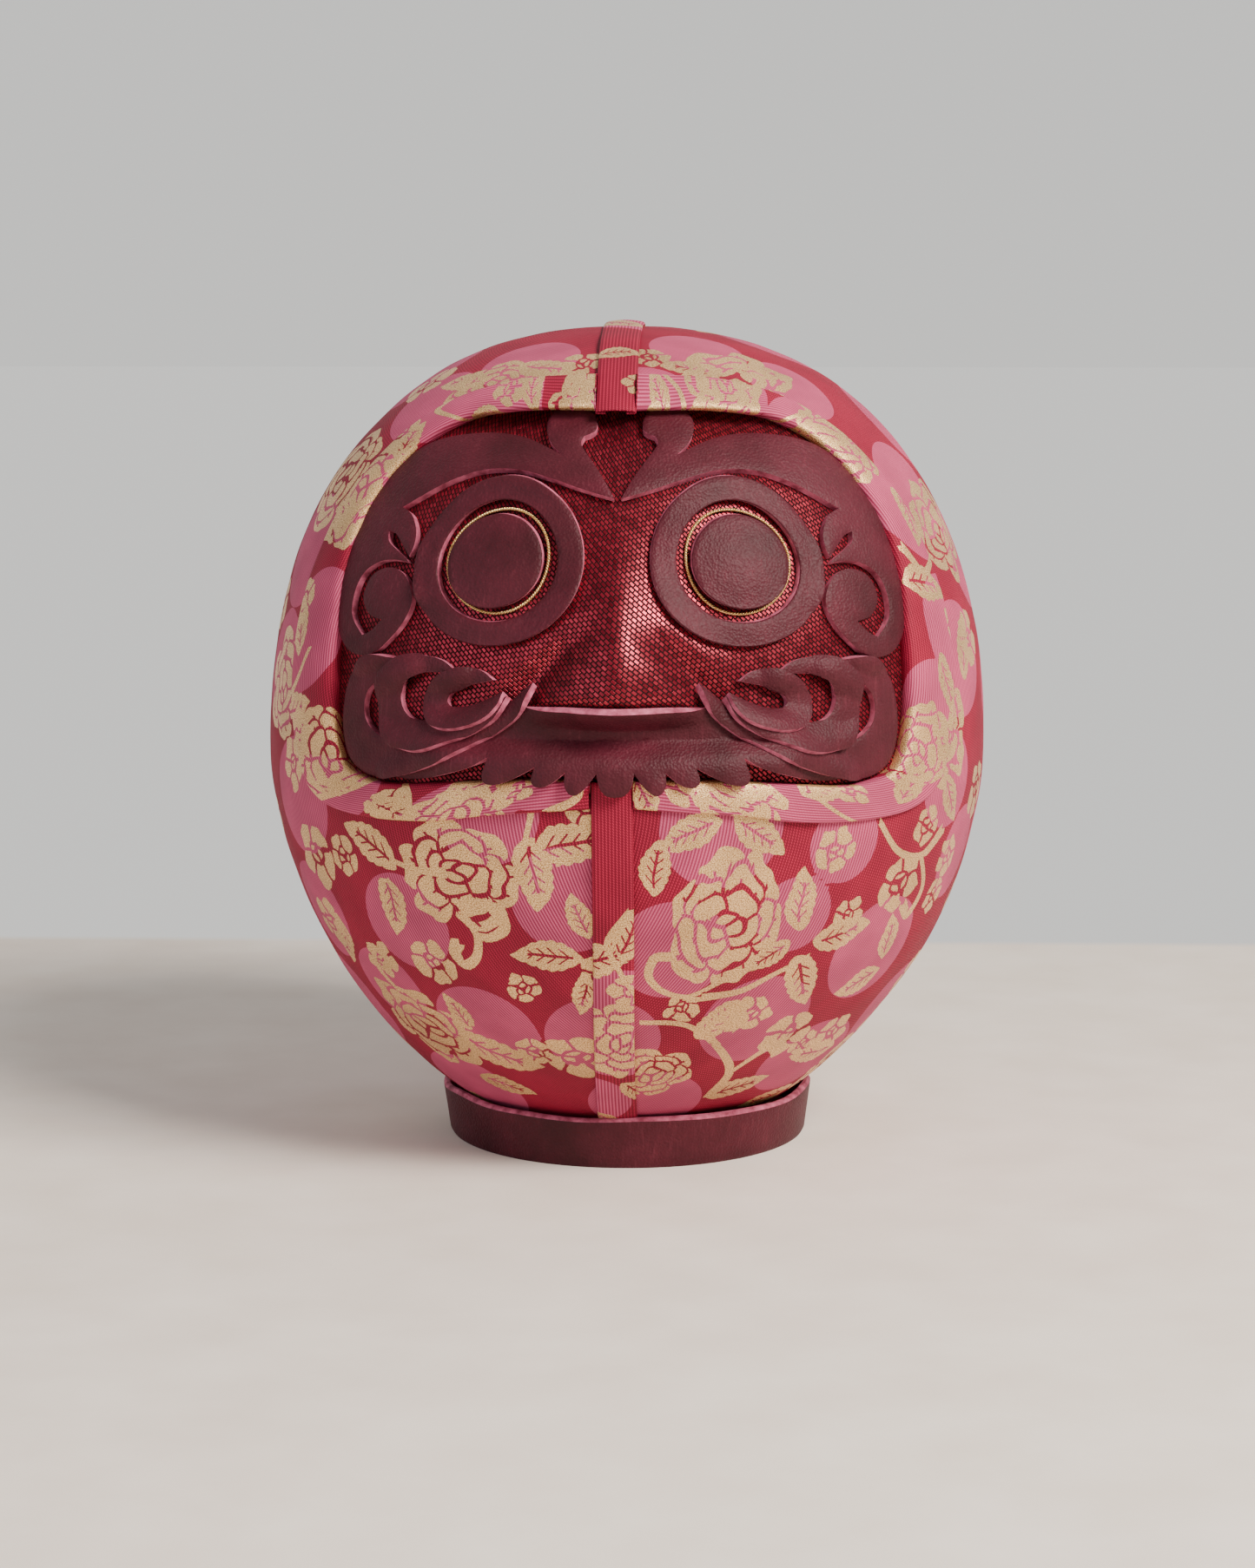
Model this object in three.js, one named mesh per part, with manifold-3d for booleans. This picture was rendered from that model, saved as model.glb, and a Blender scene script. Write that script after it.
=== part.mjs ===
// A daruma doll covered in brocade and leather: a hollow papier-mache body with a window for the
// face, brocade panels pasted over it, a dark red cloth face with a nose, and die-cut leather brows,
// eye rings, moustaches and beard laid over the face in layers. Units are millimetres, +Z is up,
// the face looks towards -Y, and the origin is the middle of the flat foot that it stands on.
import * as THREE from 'three';
import { mergeVertices } from 'three/addons/utils/BufferGeometryUtils.js';
import Module from 'manifold-3d';

const wasm = await Module();
wasm.setup();

// ---- driving dimensions ----
const BODY_RADIUS = 70.5;          // outside of the brocade at the widest height
const WAIST_HEIGHT = 77.5;         // height of the widest ring of the body
const CROWN_RISE = 82.5;           // from the waist up to the top of the head
const BELLY_DROP = 80.4;           // from the waist down to the point of the round belly
const CROWN_POWER = 2.28;          // squareness of the upper half; 2 is an ellipse
const BELLY_POWER = 1.8;           // squareness of the lower half
const GAP = 0.3;                   // clearance between pieces that are glued face to face
const BROCADE = 0.8;               // thickness of a pasted brocade panel or strip
const FACE_CLOTH = 0.6;            // thickness of the face cloth
const LEATHER = 1.2;               // thickness of the die-cut leather
const CORE_WALL = 2.4;             // wall of the papier-mache body
const FACE_RECESS = 1.8;           // face cloth below the brocade surface
const NOSE_HEIGHT = 8;             // ridge of the nose above the face cloth
const NOSE_FOOT = 90;              // height where the underside of the nose meets the face
const RIDGE_ROUNDING = 2.5;        // how blunt the ridge of the nose is
const LIP_DEPTH = 0.8;             // the border's rolled edge reaches this far into the window
const BROW_RECESS = 3;             // further depth under the top edge of the window
const SEAM_X = -0.8;               // the centre seam runs a little to one side
const STRIP_HALF_WIDTH = 3.8;      // the strips that cover the centre seam
const RING_TOP_RADIUS = 37;        // leather foot ring, outside, at its top edge
const RING_FOOT_RADIUS = 35.6;     // leather foot ring, outside, where it stands
const RING_HEIGHT = 10;
const RING_WALL = 1.4;
const DISC_THICKNESS = 3;          // card disc inside the foot ring
const FACE_REFERENCE = 68;         // face outlines are drawn unrolled from a cylinder of this radius

const EYE_LIFT = 0.6;              // clearance of the flat eye pieces over the rounded cloth
const PAD_THICKNESS = 0.8;         // felt pad that raises each eye disc
const BRAID_RADIUS = 0.45;         // half the thickness of the gold eye cord
const EYE = { u: 24.4, z: 119.3, disc: 9, pad: 8.4, cord: 9.8, ringInner: 11.6, ringOuter: 16.3 };

const ROUND_STEPS = 32;            // facets round the body
const MERIDIAN_STEPS = 15;         // facets from the foot to the crown
const FACE_HALF_WIDTH = 66;        // half width of the unrolled face sheet
const FACE_BOTTOM = 74;
const FACE_TOP = 150;
const FACE_COLUMNS = 16;
const FACE_ROWS = 11;
const OUTLINE_STEPS = 1;           // straight steps between two points of a leather outline

// ---- small helpers ----
const smoothStep = (t) => {
  const k = Math.min(Math.max(t, 0), 1);
  return k * k * (3 - 2 * k);
};

/** A closed geometry as a manifold solid, with its shared corners joined. */
function solidOf(geometry) {
  geometry.deleteAttribute('normal');
  geometry.deleteAttribute('uv');
  const merged = mergeVertices(geometry, 1e-5);
  const index = merged.index.array;
  const triangles = [];
  for (let i = 0; i < index.length; i += 3) {
    const [a, b, c] = [index[i], index[i + 1], index[i + 2]];
    if (a !== b && b !== c && c !== a) triangles.push(a, b, c);
  }
  return new wasm.Manifold(new wasm.Mesh({
    numProp: 3,
    vertProperties: new Float32Array(merged.attributes.position.array),
    triVerts: new Uint32Array(triangles),
  }));
}

function geometryOf(solid) {
  const mesh = solid.getMesh();
  const geometry = new THREE.BufferGeometry();
  geometry.setAttribute('position', new THREE.BufferAttribute(new Float32Array(mesh.vertProperties), 3));
  geometry.setIndex(new THREE.BufferAttribute(new Uint32Array(mesh.triVerts), 1));
  geometry.computeVertexNormals();
  return geometry;
}

/** A box between two corners, as a solid to cut with. */
function boxSolid(low, high) {
  const geometry = new THREE.BoxGeometry(high[0] - low[0], high[1] - low[1], high[2] - low[2]);
  geometry.translate((low[0] + high[0]) / 2, (low[1] + high[1]) / 2, (low[2] + high[2]) / 2);
  return solidOf(geometry);
}

/** A solid of revolution about +Z from [radius, height] points that run upwards on the outside. */
function turned(profile, steps = ROUND_STEPS) {
  const points = profile.map(([radius, height]) => new THREE.Vector2(radius, height));
  const geometry = new THREE.LatheGeometry(points, steps);
  geometry.rotateX(Math.PI / 2);
  return solidOf(geometry);
}

// ---- the round body ----
function bodyRadius(z) {
  const above = z > WAIST_HEIGHT;
  const reach = above ? CROWN_RISE : BELLY_DROP;
  const power = above ? CROWN_POWER : BELLY_POWER;
  const t = Math.min(Math.abs(z - WAIST_HEIGHT) / reach, 1);
  return BODY_RADIUS * (1 - t ** power) ** (1 / power);
}

/** Points of the body's outline at equal steps along it, each with its outward normal. */
function meridian() {
  const lowest = 1;
  const fineSteps = 4000;
  const fine = [];
  for (let i = 0; i <= fineSteps; i += 1) {
    const z = lowest + (WAIST_HEIGHT + CROWN_RISE - lowest) * Math.sin((i / fineSteps) * Math.PI / 2);
    fine.push([bodyRadius(z), z]);
  }
  const along = [0];
  for (let i = 1; i < fine.length; i += 1) {
    along.push(along[i - 1] + Math.hypot(fine[i][0] - fine[i - 1][0], fine[i][1] - fine[i - 1][1]));
  }
  const stations = [];
  let k = 1;
  for (let j = 0; j < MERIDIAN_STEPS; j += 1) {
    const target = (along[fineSteps] * j) / MERIDIAN_STEPS;
    while (along[k] < target) k += 1;
    const [before, after] = [fine[k - 1], fine[k]];
    const length = Math.hypot(after[0] - before[0], after[1] - before[1]);
    const normal = [(after[1] - before[1]) / length, (before[0] - after[0]) / length];
    stations.push({ r: after[0], z: after[1], normal });
  }
  stations.push({ r: 0, z: WAIST_HEIGHT + CROWN_RISE, normal: [0, 1] });
  return stations;
}
const STATIONS = meridian();

/** The whole body, grown or shrunk by an offset and cut off flat at a foot height. */
function bodySolid(offset, footHeight) {
  const outline = STATIONS.map(({ r, z, normal }) => [r + normal[0] * offset, z + normal[1] * offset]);
  outline[outline.length - 1][0] = 0;
  const first = outline.findIndex(([, z]) => z > footHeight);
  const [low, high] = [outline[first - 1], outline[first]];
  const share = (footHeight - low[1]) / (high[1] - low[1]);
  const footRadius = low[0] + (high[0] - low[0]) * share;
  return turned([[0, footHeight], [footRadius, footHeight], ...outline.slice(first)]);
}

/** A skin of the body between two offsets. */
function bodySkin(inner, outer, footHeight) {
  return bodySolid(outer, footHeight).subtract(bodySolid(inner, footHeight - 1));
}

// ---- the face surface ----
/** Height of the nose above the face: a rounded ridge that widens downwards, over a hollow mouth. */
function faceRelief(u, z) {
  const ridge = NOSE_HEIGHT * smoothStep((129 - z) / 30) * smoothStep((z - NOSE_FOOT) / 6);
  const halfWidth = 6 + 15 * smoothStep((127 - z) / 28);
  const across = Math.hypot(u, RIDGE_ROUNDING) - RIDGE_ROUNDING;
  const flank = Math.max(0, 1 - across / halfWidth) ** 1.5;
  const mouth = 1.2 * Math.exp(-(((z - 87) / 3.5) ** 2) - (u / 16) ** 2);
  return ridge * flank - mouth;
}

/** Distance of the face cloth from the doll's axis. */
function faceRadius(u, z) {
  const underBrow = BROW_RECESS * smoothStep((z - 130) / 14) * (1 - smoothStep((Math.abs(u) - 30) / 25));
  return bodyRadius(z) - FACE_RECESS - underBrow + faceRelief(u, z);
}

/** The beard and moustaches climb over the window's lower edge. */
function chinRise(u, z) {
  return 3.2 * smoothStep((88 - z) / 5) * (1 - smoothStep((Math.abs(u) - 27) / 12));
}

function onCylinder(u, z, radius) {
  const angle = u / FACE_REFERENCE;
  return [radius * Math.sin(angle), -radius * Math.cos(angle), z];
}

/** Moves each corner of a geometry by a function of its old place. */
function reshape(geometry, place) {
  const position = geometry.attributes.position;
  for (let i = 0; i < position.count; i += 1) {
    position.setXYZ(i, ...place(position.getX(i), position.getY(i), position.getZ(i)));
  }
  return geometry;
}

/** Everything behind a surface that follows the face at a height above the face cloth. */
function faceBlock(height, rise, innerReach) {
  const geometry = new THREE.BoxGeometry(
    2 * FACE_HALF_WIDTH, FACE_TOP - FACE_BOTTOM, 1, FACE_COLUMNS, FACE_ROWS, 1,
  );
  const middle = (FACE_TOP + FACE_BOTTOM) / 2;
  return solidOf(reshape(geometry, (u, y, w) => {
    const z = y + middle;
    return onCylinder(u, z, w > 0 ? faceRadius(u, z) + rise(u, z) + height : innerReach);
  }));
}

/** A sheet cut from between two heights above the face cloth. */
function faceSheet(cutter, from, to, rise = () => 0) {
  return cutter.intersect(faceBlock(to, rise, 20)).subtract(faceBlock(from, rise, 18));
}

/** A cutter: a flat outline, drawn unrolled, pushed straight out from the doll's axis in steps. */
function radialCutter(shape) {
  const reaches = [15, 24, 34, 44, 55, 68, 82, 150];
  const steps = reaches.length - 1;
  const geometry = new THREE.ExtrudeGeometry(shape, { depth: 1, steps, bevelEnabled: false });
  return solidOf(reshape(geometry, (u, z, w) => onCylinder(u, z, reaches[Math.round(w * steps)])));
}

// ---- outlines, drawn unrolled: u is measured round the doll from the middle of the face ----
/** Strokes are smooth curves; where one ends and the next begins there is a corner. */
function outline(strokes) {
  const points = strokes.flatMap((stroke) => {
    const curve = new THREE.SplineCurve(stroke.map(([u, z]) => new THREE.Vector2(u, z)));
    return curve.getPoints(Math.ceil((stroke.length - 1) * OUTLINE_STEPS)).slice(0, -1);
  });
  return new THREE.Shape(points);
}

const mirrored = (strokes) => strokes.map((stroke) => stroke.map(([u, z]) => [-u, z]));

/** A smooth closed loop, the same on both sides, grown outwards by a distance. */
function symmetricLoop(halfPoints, growth = 0) {
  const otherHalf = halfPoints.slice(1, -1).reverse().map(([u, z]) => [-u, z]);
  const corners = [...halfPoints, ...otherHalf].map(([u, z]) => new THREE.Vector3(u, z, 0));
  const curve = new THREE.CatmullRomCurve3(corners, true, 'centripetal');
  const points = curve.getSpacedPoints(44).slice(0, -1);
  const grown = points.map((point, i) => {
    const before = points[(i + points.length - 1) % points.length];
    const after = points[(i + 1) % points.length];
    const along = after.clone().sub(before).normalize();
    return new THREE.Vector2(point.x - along.y * growth, point.y + along.x * growth);
  });
  return new THREE.Shape(grown);
}

const WINDOW_HALF = [
  [0, 145.5], [21, 145.6], [35, 144.9], [46, 143.3], [55, 138.6], [60.5, 131], [62.5, 123], [62.5, 114],
  [61, 105], [60, 96], [58.6, 87], [55.8, 81], [50, 78.5], [42, 78.1], [28, 79.6], [14, 80.8], [0, 81],
];
const BAND_HALF = [
  [0, 151.5], [20, 151.2], [36, 150.3], [50, 147.8], [60, 143.5], [68, 136], [73, 126], [75, 114],
  [75.5, 102], [74, 90], [71, 81], [66.5, 75], [59, 72], [47, 71.3], [34, 72], [20, 74.2], [0, 76],
];

const BROW = [
  [[0.8, 129.9], [8, 131.4], [16, 133.2], [24, 134.4], [33, 134.1], [41.5, 131.7], [51, 127.2]],
  [[51, 127.2], [47.4, 126], [44.8, 123.4], [44.2, 120.8], [44.8, 118.8]],
  [[44.8, 118.8], [47.6, 120.9], [50.4, 122.6], [52.6, 123]],
  [[52.6, 123], [51.6, 121.2], [48.6, 119.8], [46, 118.7], [44.4, 117.8]],
  [[44.4, 117.8], [48.6, 118], [52.6, 117.4], [56.2, 115.4], [57.8, 112], [57.2, 107.6], [53.2, 104.2]],
  [[53.2, 104.2], [50.9, 105.2], [48.5, 107.3]],
  [[48.5, 107.3], [52.4, 108.2], [54.9, 111.2], [53.6, 115], [49.2, 116.6], [44.9, 115.6], [42.1, 112.6],
    [41.8, 109.6], [44, 105.8], [48, 102]],
  [[48, 102], [52.2, 100.6], [57, 101.4], [60.6, 104.6], [63, 110], [64.4, 117], [65, 124], [62, 131.4],
    [56, 136.8], [49, 139.4], [38, 140.5], [27, 140], [19.5, 138.5], [14.2, 137]],
  [[14.2, 137], [17.6, 138.8], [20.2, 141], [20.9, 143.2], [18.6, 145], [14, 145.5], [9.6, 144.9],
    [6.8, 143.2], [6.6, 141.2], [9.4, 140.2]],
  [[9.4, 140.2], [9.8, 138.8], [6.4, 136], [3.4, 133.2], [0.8, 129.9]],
];

const MOUSTACHE_OUTER = [
  [[14.2, 97.4], [20, 92.9], [26, 89.9], [33, 87.4], [40, 86.1], [45.4, 86.2], [49.2, 88.2], [50.6, 91],
    [49.9, 94.4], [47, 96.8], [43, 98.2], [40, 99.2]],
  [[40, 99.2], [43.5, 100.9], [47, 101.5], [50.6, 100.9], [53.4, 99], [55.5, 95.8], [56.4, 91.4],
    [56.3, 86.8], [54.5, 82], [50.6, 79.5], [45.4, 78.9], [40, 79.9], [33.8, 81.9], [27.8, 84.6],
    [22.6, 87.6], [17.8, 91.2], [15.4, 94.4], [14.2, 97.4]],
];
const MOUSTACHE_MIDDLE = [
  [[18.8, 95], [22.4, 92.8], [26.4, 91], [30.8, 90], [35.2, 89.6], [38.6, 90.2], [40.8, 91.8], [41.6, 94.4],
    [40.6, 97.2], [38, 98.6], [33.6, 98.9], [30, 99.2]],
  [[30, 99.2], [32.8, 101], [36.6, 101.7], [40.6, 101.4], [43.6, 100.6], [46.2, 98.4], [47.4, 95],
    [47.1, 91], [45.8, 87.6], [43, 85.2], [39, 84.3], [34.6, 84.7], [29.6, 86.4], [24.6, 88.8],
    [21, 91.4], [18.8, 95]],
];
const MOUSTACHE_INNER = [
  [[22, 98.2], [24.6, 97.6], [28, 96.8], [30.6, 95.4], [31.3, 93.6], [29.8, 92.4], [26.4, 92.6],
    [22.8, 94], [19.4, 95.8]],
  [[19.4, 95.8], [20.2, 93.6], [22.4, 91.4], [25.6, 89.8], [29.8, 88.8], [33.6, 89.2], [36, 91.4],
    [36.3, 94.6], [34.6, 97.6], [31.4, 99.4], [28.4, 100], [25, 99.7], [22, 98.2]],
];

// half of the beard's outline, from the middle of its straight top edge to its middle lobe
const BEARD_HALF = [
  [[0, 94.4], [9, 94.2], [17, 93.6]],
  [[17, 93.6], [22, 90], [30, 86.4], [37, 82.8], [43.4, 79.3]],
  [[43.4, 79.3], [39, 79.2], [35, 79.7], [30.5, 80.9], [26, 82.4], [22, 84]],
  [[22, 84], [22.8, 81.6], [22.2, 80], [20.4, 79.8], [17.6, 80.9], [13.6, 83.1]],
  [[13.6, 83.1], [14.1, 81], [13.4, 79.8], [12, 79.7], [10.4, 80.6], [8.4, 82.3]],
  [[8.4, 82.3], [8.4, 80.2], [7.6, 78.8], [6.4, 78.6], [5, 79.8], [3.2, 82.2]],
  [[3.2, 82.2], [2.7, 79.8], [1.5, 78.4], [0, 78.1]],
];

// ---- pieces ----
const outlineCutter = (strokes) => radialCutter(outline(strokes));
const windowCutter = (growth) => radialCutter(symmetricLoop(WINDOW_HALF, growth));
const LEATHER_STEP = LEATHER + GAP;

/** A die-cut piece lying on the face in one of the leather layers; layer 0 touches the cloth. */
function leatherPiece(cutter, layer, rise = chinRise) {
  const from = GAP + layer * LEATHER_STEP;
  return faceSheet(cutter, from, from + LEATHER, rise);
}

/** Something round made flat and then laid on the face with its middle at an eye. */
function roundOnFace(profile, side, facets = 24) {
  const points = profile.map(([radius, height]) => new THREE.Vector2(radius, height));
  const geometry = new THREE.LatheGeometry(points, facets);
  const slope = (bodyRadius(EYE.z + 1) - bodyRadius(EYE.z - 1)) / 2;
  const heightShare = 1 / Math.hypot(1, slope);
  const arcShare = FACE_REFERENCE / faceRadius(EYE.u, EYE.z);
  return solidOf(reshape(geometry, (across, lift, down) => {
    const u = side * EYE.u + across * arcShare;
    const z = EYE.z - down * heightShare;
    return onCylinder(u, z, faceRadius(u, z) + EYE_LIFT + lift);
  }));
}

/** Profile of a flat ring or disc with one extra step across, so that it can bend. */
function flatProfile(inner, outer, from, to) {
  const middle = (inner + outer) / 2;
  const loop = [[inner, from], [middle, from], [outer, from], [outer, to], [middle, to], [inner, to]];
  return inner > 0 ? [...loop, loop[0]] : loop;
}

function coreShell() {
  const foot = DISC_THICKNESS + GAP;
  const hollow = bodySolid(-BROCADE - GAP - CORE_WALL, foot + CORE_WALL);
  const mouldHole = turned([[0, 0], [14, 0], [14, 20], [0, 20]], 24);
  return bodySolid(-BROCADE - GAP, foot).subtract(hollow).subtract(mouldHole).subtract(windowCutter(1.3));
}

function ballast() {
  const top = 24;
  const lump = bodySolid(-BROCADE - CORE_WALL - 3 * GAP, DISC_THICKNESS + CORE_WALL + 3 * GAP);
  return lump.intersect(boxSolid([-80, -80, 0], [80, 80, top]));
}

function baseDisc() {
  const edge = RING_FOOT_RADIUS - RING_WALL - 2 * GAP;
  return turned([[0, 0], [edge, 0], [edge, DISC_THICKNESS], [0, DISC_THICKNESS]]);
}

function baseRing() {
  const loop = [
    [RING_FOOT_RADIUS - RING_WALL, 0], [RING_FOOT_RADIUS, 0],
    [RING_TOP_RADIUS, RING_HEIGHT], [RING_TOP_RADIUS - RING_WALL, RING_HEIGHT],
  ];
  return turned([...loop, loop[0]]);
}

const faceForm = () => faceSheet(windowCutter(0.9), -7, -FACE_CLOTH - GAP);
const faceCloth = () => faceSheet(windowCutter(0.9), -FACE_CLOTH, 0);

/** One half of the brocade body cover; side is -1 for the left of the front view, 1 for the right. */
function bodyPanel(side) {
  const edge = SEAM_X + side * GAP / 2;
  const half = side < 0 ? boxSolid([-90, -90, 0], [edge, 90, 200]) : boxSolid([edge, -90, 0], [90, 90, 200]);
  return bodySkin(-BROCADE, 0, 4.6).intersect(half).subtract(windowCutter(1.3));
}

/** The strips over the centre seam: one below the window, one from the window over to the back. */
function seamStrips() {
  const low = SEAM_X - STRIP_HALF_WIDTH;
  const high = SEAM_X + STRIP_HALF_WIDTH;
  const belt = bodySkin(GAP, GAP + BROCADE, 7).intersect(boxSolid([low, -90, 0], [high, 90, 200]));
  const strips = belt.subtract(windowCutter(0));
  const belowWindow = boxSolid([low - 1, -90, 0], [high + 1, 0, 110]);
  return { front: strips.intersect(belowWindow), back: strips.subtract(belowWindow) };
}

/** Half of the folded border round the window, rolled in over the window's edge. */
function borderBand(side) {
  const flat = bodySkin(GAP, GAP + BROCADE, 20)
    .intersect(radialCutter(symmetricLoop(BAND_HALF))).subtract(windowCutter(0));
  const lip = bodySkin(-LIP_DEPTH, GAP + BROCADE, 20)
    .intersect(windowCutter(1)).subtract(windowCutter(0));
  const edge = SEAM_X + side * (STRIP_HALF_WIDTH + GAP);
  const half = side < 0 ? boxSolid([-90, -90, 0], [edge, 0, 200]) : boxSolid([edge, -90, 0], [90, 0, 200]);
  return flat.add(lip).intersect(half);
}

function brow(side) {
  const clearOfEye = roundOnFace([[0, -3], [EYE.ringOuter + 0.4, -3], [EYE.ringOuter + 0.4, 8], [0, 8]], side);
  const cutter = outlineCutter(side < 0 ? mirrored(BROW) : BROW);
  return leatherPiece(cutter, 0).intersect(windowCutter(-0.4)).subtract(clearOfEye);
}

function beard() {
  const turnBack = (strokes) => strokes.map((stroke) => [...stroke].reverse()).reverse();
  return leatherPiece(outlineCutter([...BEARD_HALF, ...turnBack(mirrored(BEARD_HALF))]), 0);
}

const moustache = (strokes, side, layer) => (
  leatherPiece(outlineCutter(side < 0 ? mirrored(strokes) : strokes), layer)
);

/** The leather ring round an eye, shaved where the side of the nose would push into it. */
function eyeRing(side) {
  const ring = roundOnFace(flatProfile(EYE.ringInner, EYE.ringOuter, 0, LEATHER), side);
  return ring.subtract(faceBlock(GAP, () => 0, 18));
}

function eyeDisc(side) {
  const under = PAD_THICKNESS + GAP;
  return roundOnFace(flatProfile(0, EYE.disc, under, under + LEATHER), side);
}

function eyeCord(side) {
  const braid = [];
  for (let i = 0; i <= 6; i += 1) {
    const turn = (-i / 6) * 2 * Math.PI;
    braid.push([EYE.cord + BRAID_RADIUS * Math.cos(turn), BRAID_RADIUS - BRAID_RADIUS * Math.sin(turn)]);
  }
  return roundOnFace(braid, side, 26);
}

// ---- the assembly ----
const doll = new THREE.Group();
const MATERIALS = {
  brocade: new THREE.MeshStandardMaterial({ color: 0xb8304c, roughness: 0.75, metalness: 0 }),
  faceCloth: new THREE.MeshStandardMaterial({ color: 0x8c1c2c, roughness: 0.45, metalness: 0.1 }),
  leather: new THREE.MeshStandardMaterial({ color: 0x64303a, roughness: 0.5, metalness: 0 }),
  goldCord: new THREE.MeshStandardMaterial({ color: 0xd8b468, roughness: 0.35, metalness: 0.8 }),
  papier: new THREE.MeshStandardMaterial({ color: 0xcbbfa8, roughness: 0.9, metalness: 0 }),
  clay: new THREE.MeshStandardMaterial({ color: 0x9a7a60, roughness: 0.95, metalness: 0 }),
  card: new THREE.MeshStandardMaterial({ color: 0xa88a64, roughness: 0.9, metalness: 0 }),
  felt: new THREE.MeshStandardMaterial({ color: 0x4a2830, roughness: 0.95, metalness: 0 }),
};

function addPiece(name, solid, material) {
  const mesh = new THREE.Mesh(geometryOf(solid), MATERIALS[material].clone());
  mesh.name = name;
  doll.add(mesh);
}

addPiece('core_shell', coreShell(), 'papier');
addPiece('ballast', ballast(), 'clay');
addPiece('base_disc', baseDisc(), 'card');
addPiece('base_ring', baseRing(), 'leather');
addPiece('face_form', faceForm(), 'papier');
addPiece('face_cloth', faceCloth(), 'faceCloth');

const strips = seamStrips();
addPiece('seam_strip_front', strips.front, 'brocade');
addPiece('seam_strip_back', strips.back, 'brocade');
addPiece('beard', beard(), 'leather');

for (const [name, side] of [['left', -1], ['right', 1]]) {
  addPiece(`body_panel_${name}`, bodyPanel(side), 'brocade');
  addPiece(`border_band_${name}`, borderBand(side), 'brocade');
  addPiece(`brow_${name}`, brow(side), 'leather');
  addPiece(`moustache_outer_${name}`, moustache(MOUSTACHE_OUTER, side, 1), 'leather');
  addPiece(`moustache_middle_${name}`, moustache(MOUSTACHE_MIDDLE, side, 2), 'leather');
  addPiece(`moustache_inner_${name}`, moustache(MOUSTACHE_INNER, side, 3), 'leather');
  addPiece(`eye_ring_${name}`, eyeRing(side), 'leather');
  addPiece(`eye_pad_${name}`, roundOnFace(flatProfile(0, EYE.pad, 0, PAD_THICKNESS), side), 'felt');
  addPiece(`eye_disc_${name}`, eyeDisc(side), 'leather');
  addPiece(`eye_cord_${name}`, eyeCord(side), 'goldCord');
}

export default doll;
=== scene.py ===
# %% [markdown]
# # A daruma doll covered in brocade and leather
# The doll is a hollow papier-mache egg on a low leather ring. Two brocade panels are pasted over it,
# strips cover the seams between them, and a folded border runs round the window of the face. In the
# window a dark red cloth is shaped over a nose, and brows, eye rings, moustaches and a beard cut
# from thick leather lie on it in layers. The frame below holds the right sizes and places, so this
# script only has to make each surface look like what it is.

# %% Load the frame
import math
import random

import bmesh
import bpy
import numpy as np
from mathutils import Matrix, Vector
from mathutils.kdtree import KDTree


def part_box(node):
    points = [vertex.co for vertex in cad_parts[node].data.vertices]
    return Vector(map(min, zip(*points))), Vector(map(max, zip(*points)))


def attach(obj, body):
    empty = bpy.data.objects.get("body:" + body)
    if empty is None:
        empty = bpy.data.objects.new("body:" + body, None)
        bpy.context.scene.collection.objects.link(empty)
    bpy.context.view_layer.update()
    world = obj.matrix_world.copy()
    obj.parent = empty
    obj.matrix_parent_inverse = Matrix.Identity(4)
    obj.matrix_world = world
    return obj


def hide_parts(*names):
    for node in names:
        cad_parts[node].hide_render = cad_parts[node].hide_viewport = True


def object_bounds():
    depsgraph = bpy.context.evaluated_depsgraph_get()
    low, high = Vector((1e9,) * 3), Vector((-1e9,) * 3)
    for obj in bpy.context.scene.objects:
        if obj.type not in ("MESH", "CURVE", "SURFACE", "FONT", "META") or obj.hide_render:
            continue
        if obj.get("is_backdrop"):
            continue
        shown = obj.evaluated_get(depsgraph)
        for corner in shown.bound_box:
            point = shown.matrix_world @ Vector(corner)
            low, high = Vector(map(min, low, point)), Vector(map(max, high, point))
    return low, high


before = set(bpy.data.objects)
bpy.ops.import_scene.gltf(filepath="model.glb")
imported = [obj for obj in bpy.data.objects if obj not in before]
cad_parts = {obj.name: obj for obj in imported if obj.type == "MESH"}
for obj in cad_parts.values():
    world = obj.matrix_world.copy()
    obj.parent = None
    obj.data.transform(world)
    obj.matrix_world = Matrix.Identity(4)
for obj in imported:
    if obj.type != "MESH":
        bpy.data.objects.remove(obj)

cad_box = [list(corner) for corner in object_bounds()]
print("frame box", [[round(x, 4) for x in corner] for corner in cad_box])

# %% [markdown]
# ## The camera
# A long lens from about 0.7 m, a little above the doll's head and looking slightly down, keeps the
# round body free of wide-angle stretch. It stands 1.75 degrees to the doll's left hand.

# %% Place the camera
MM = 0.001                      # sizes below are in millimetres, and Blender works in metres
CAMERA_DISTANCE = 718
CAMERA_HEIGHT = 179.3
CAMERA_TURN = math.radians(1.75)
CAMERA_PITCH = math.radians(8.7)
camera_data = bpy.data.cameras.new("front_camera")
camera_data.lens = 83.7
camera_data.sensor_width = 36
camera = bpy.data.objects.new("front_camera", camera_data)
camera.location = Vector((
    CAMERA_DISTANCE * math.sin(CAMERA_TURN), -CAMERA_DISTANCE * math.cos(CAMERA_TURN), CAMERA_HEIGHT,
)) * MM
camera.rotation_euler = (math.pi / 2 - CAMERA_PITCH, 0, CAMERA_TURN)
bpy.context.scene.collection.objects.link(camera)
bpy.context.scene.camera = camera
print("camera at", [round(x, 3) for x in camera.location])

# %% [markdown]
# ## Measures of the doll
# The body is a solid of revolution: an egg whose upper half is a little squarer than an ellipse and
# whose lower half is a little more pointed. The face is described unrolled, as if it were printed
# on paper wrapped round a cylinder: `u` is measured round the doll from the middle of the face and
# `z` is the height. Working unrolled keeps every outline flat and easy to draw.

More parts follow.
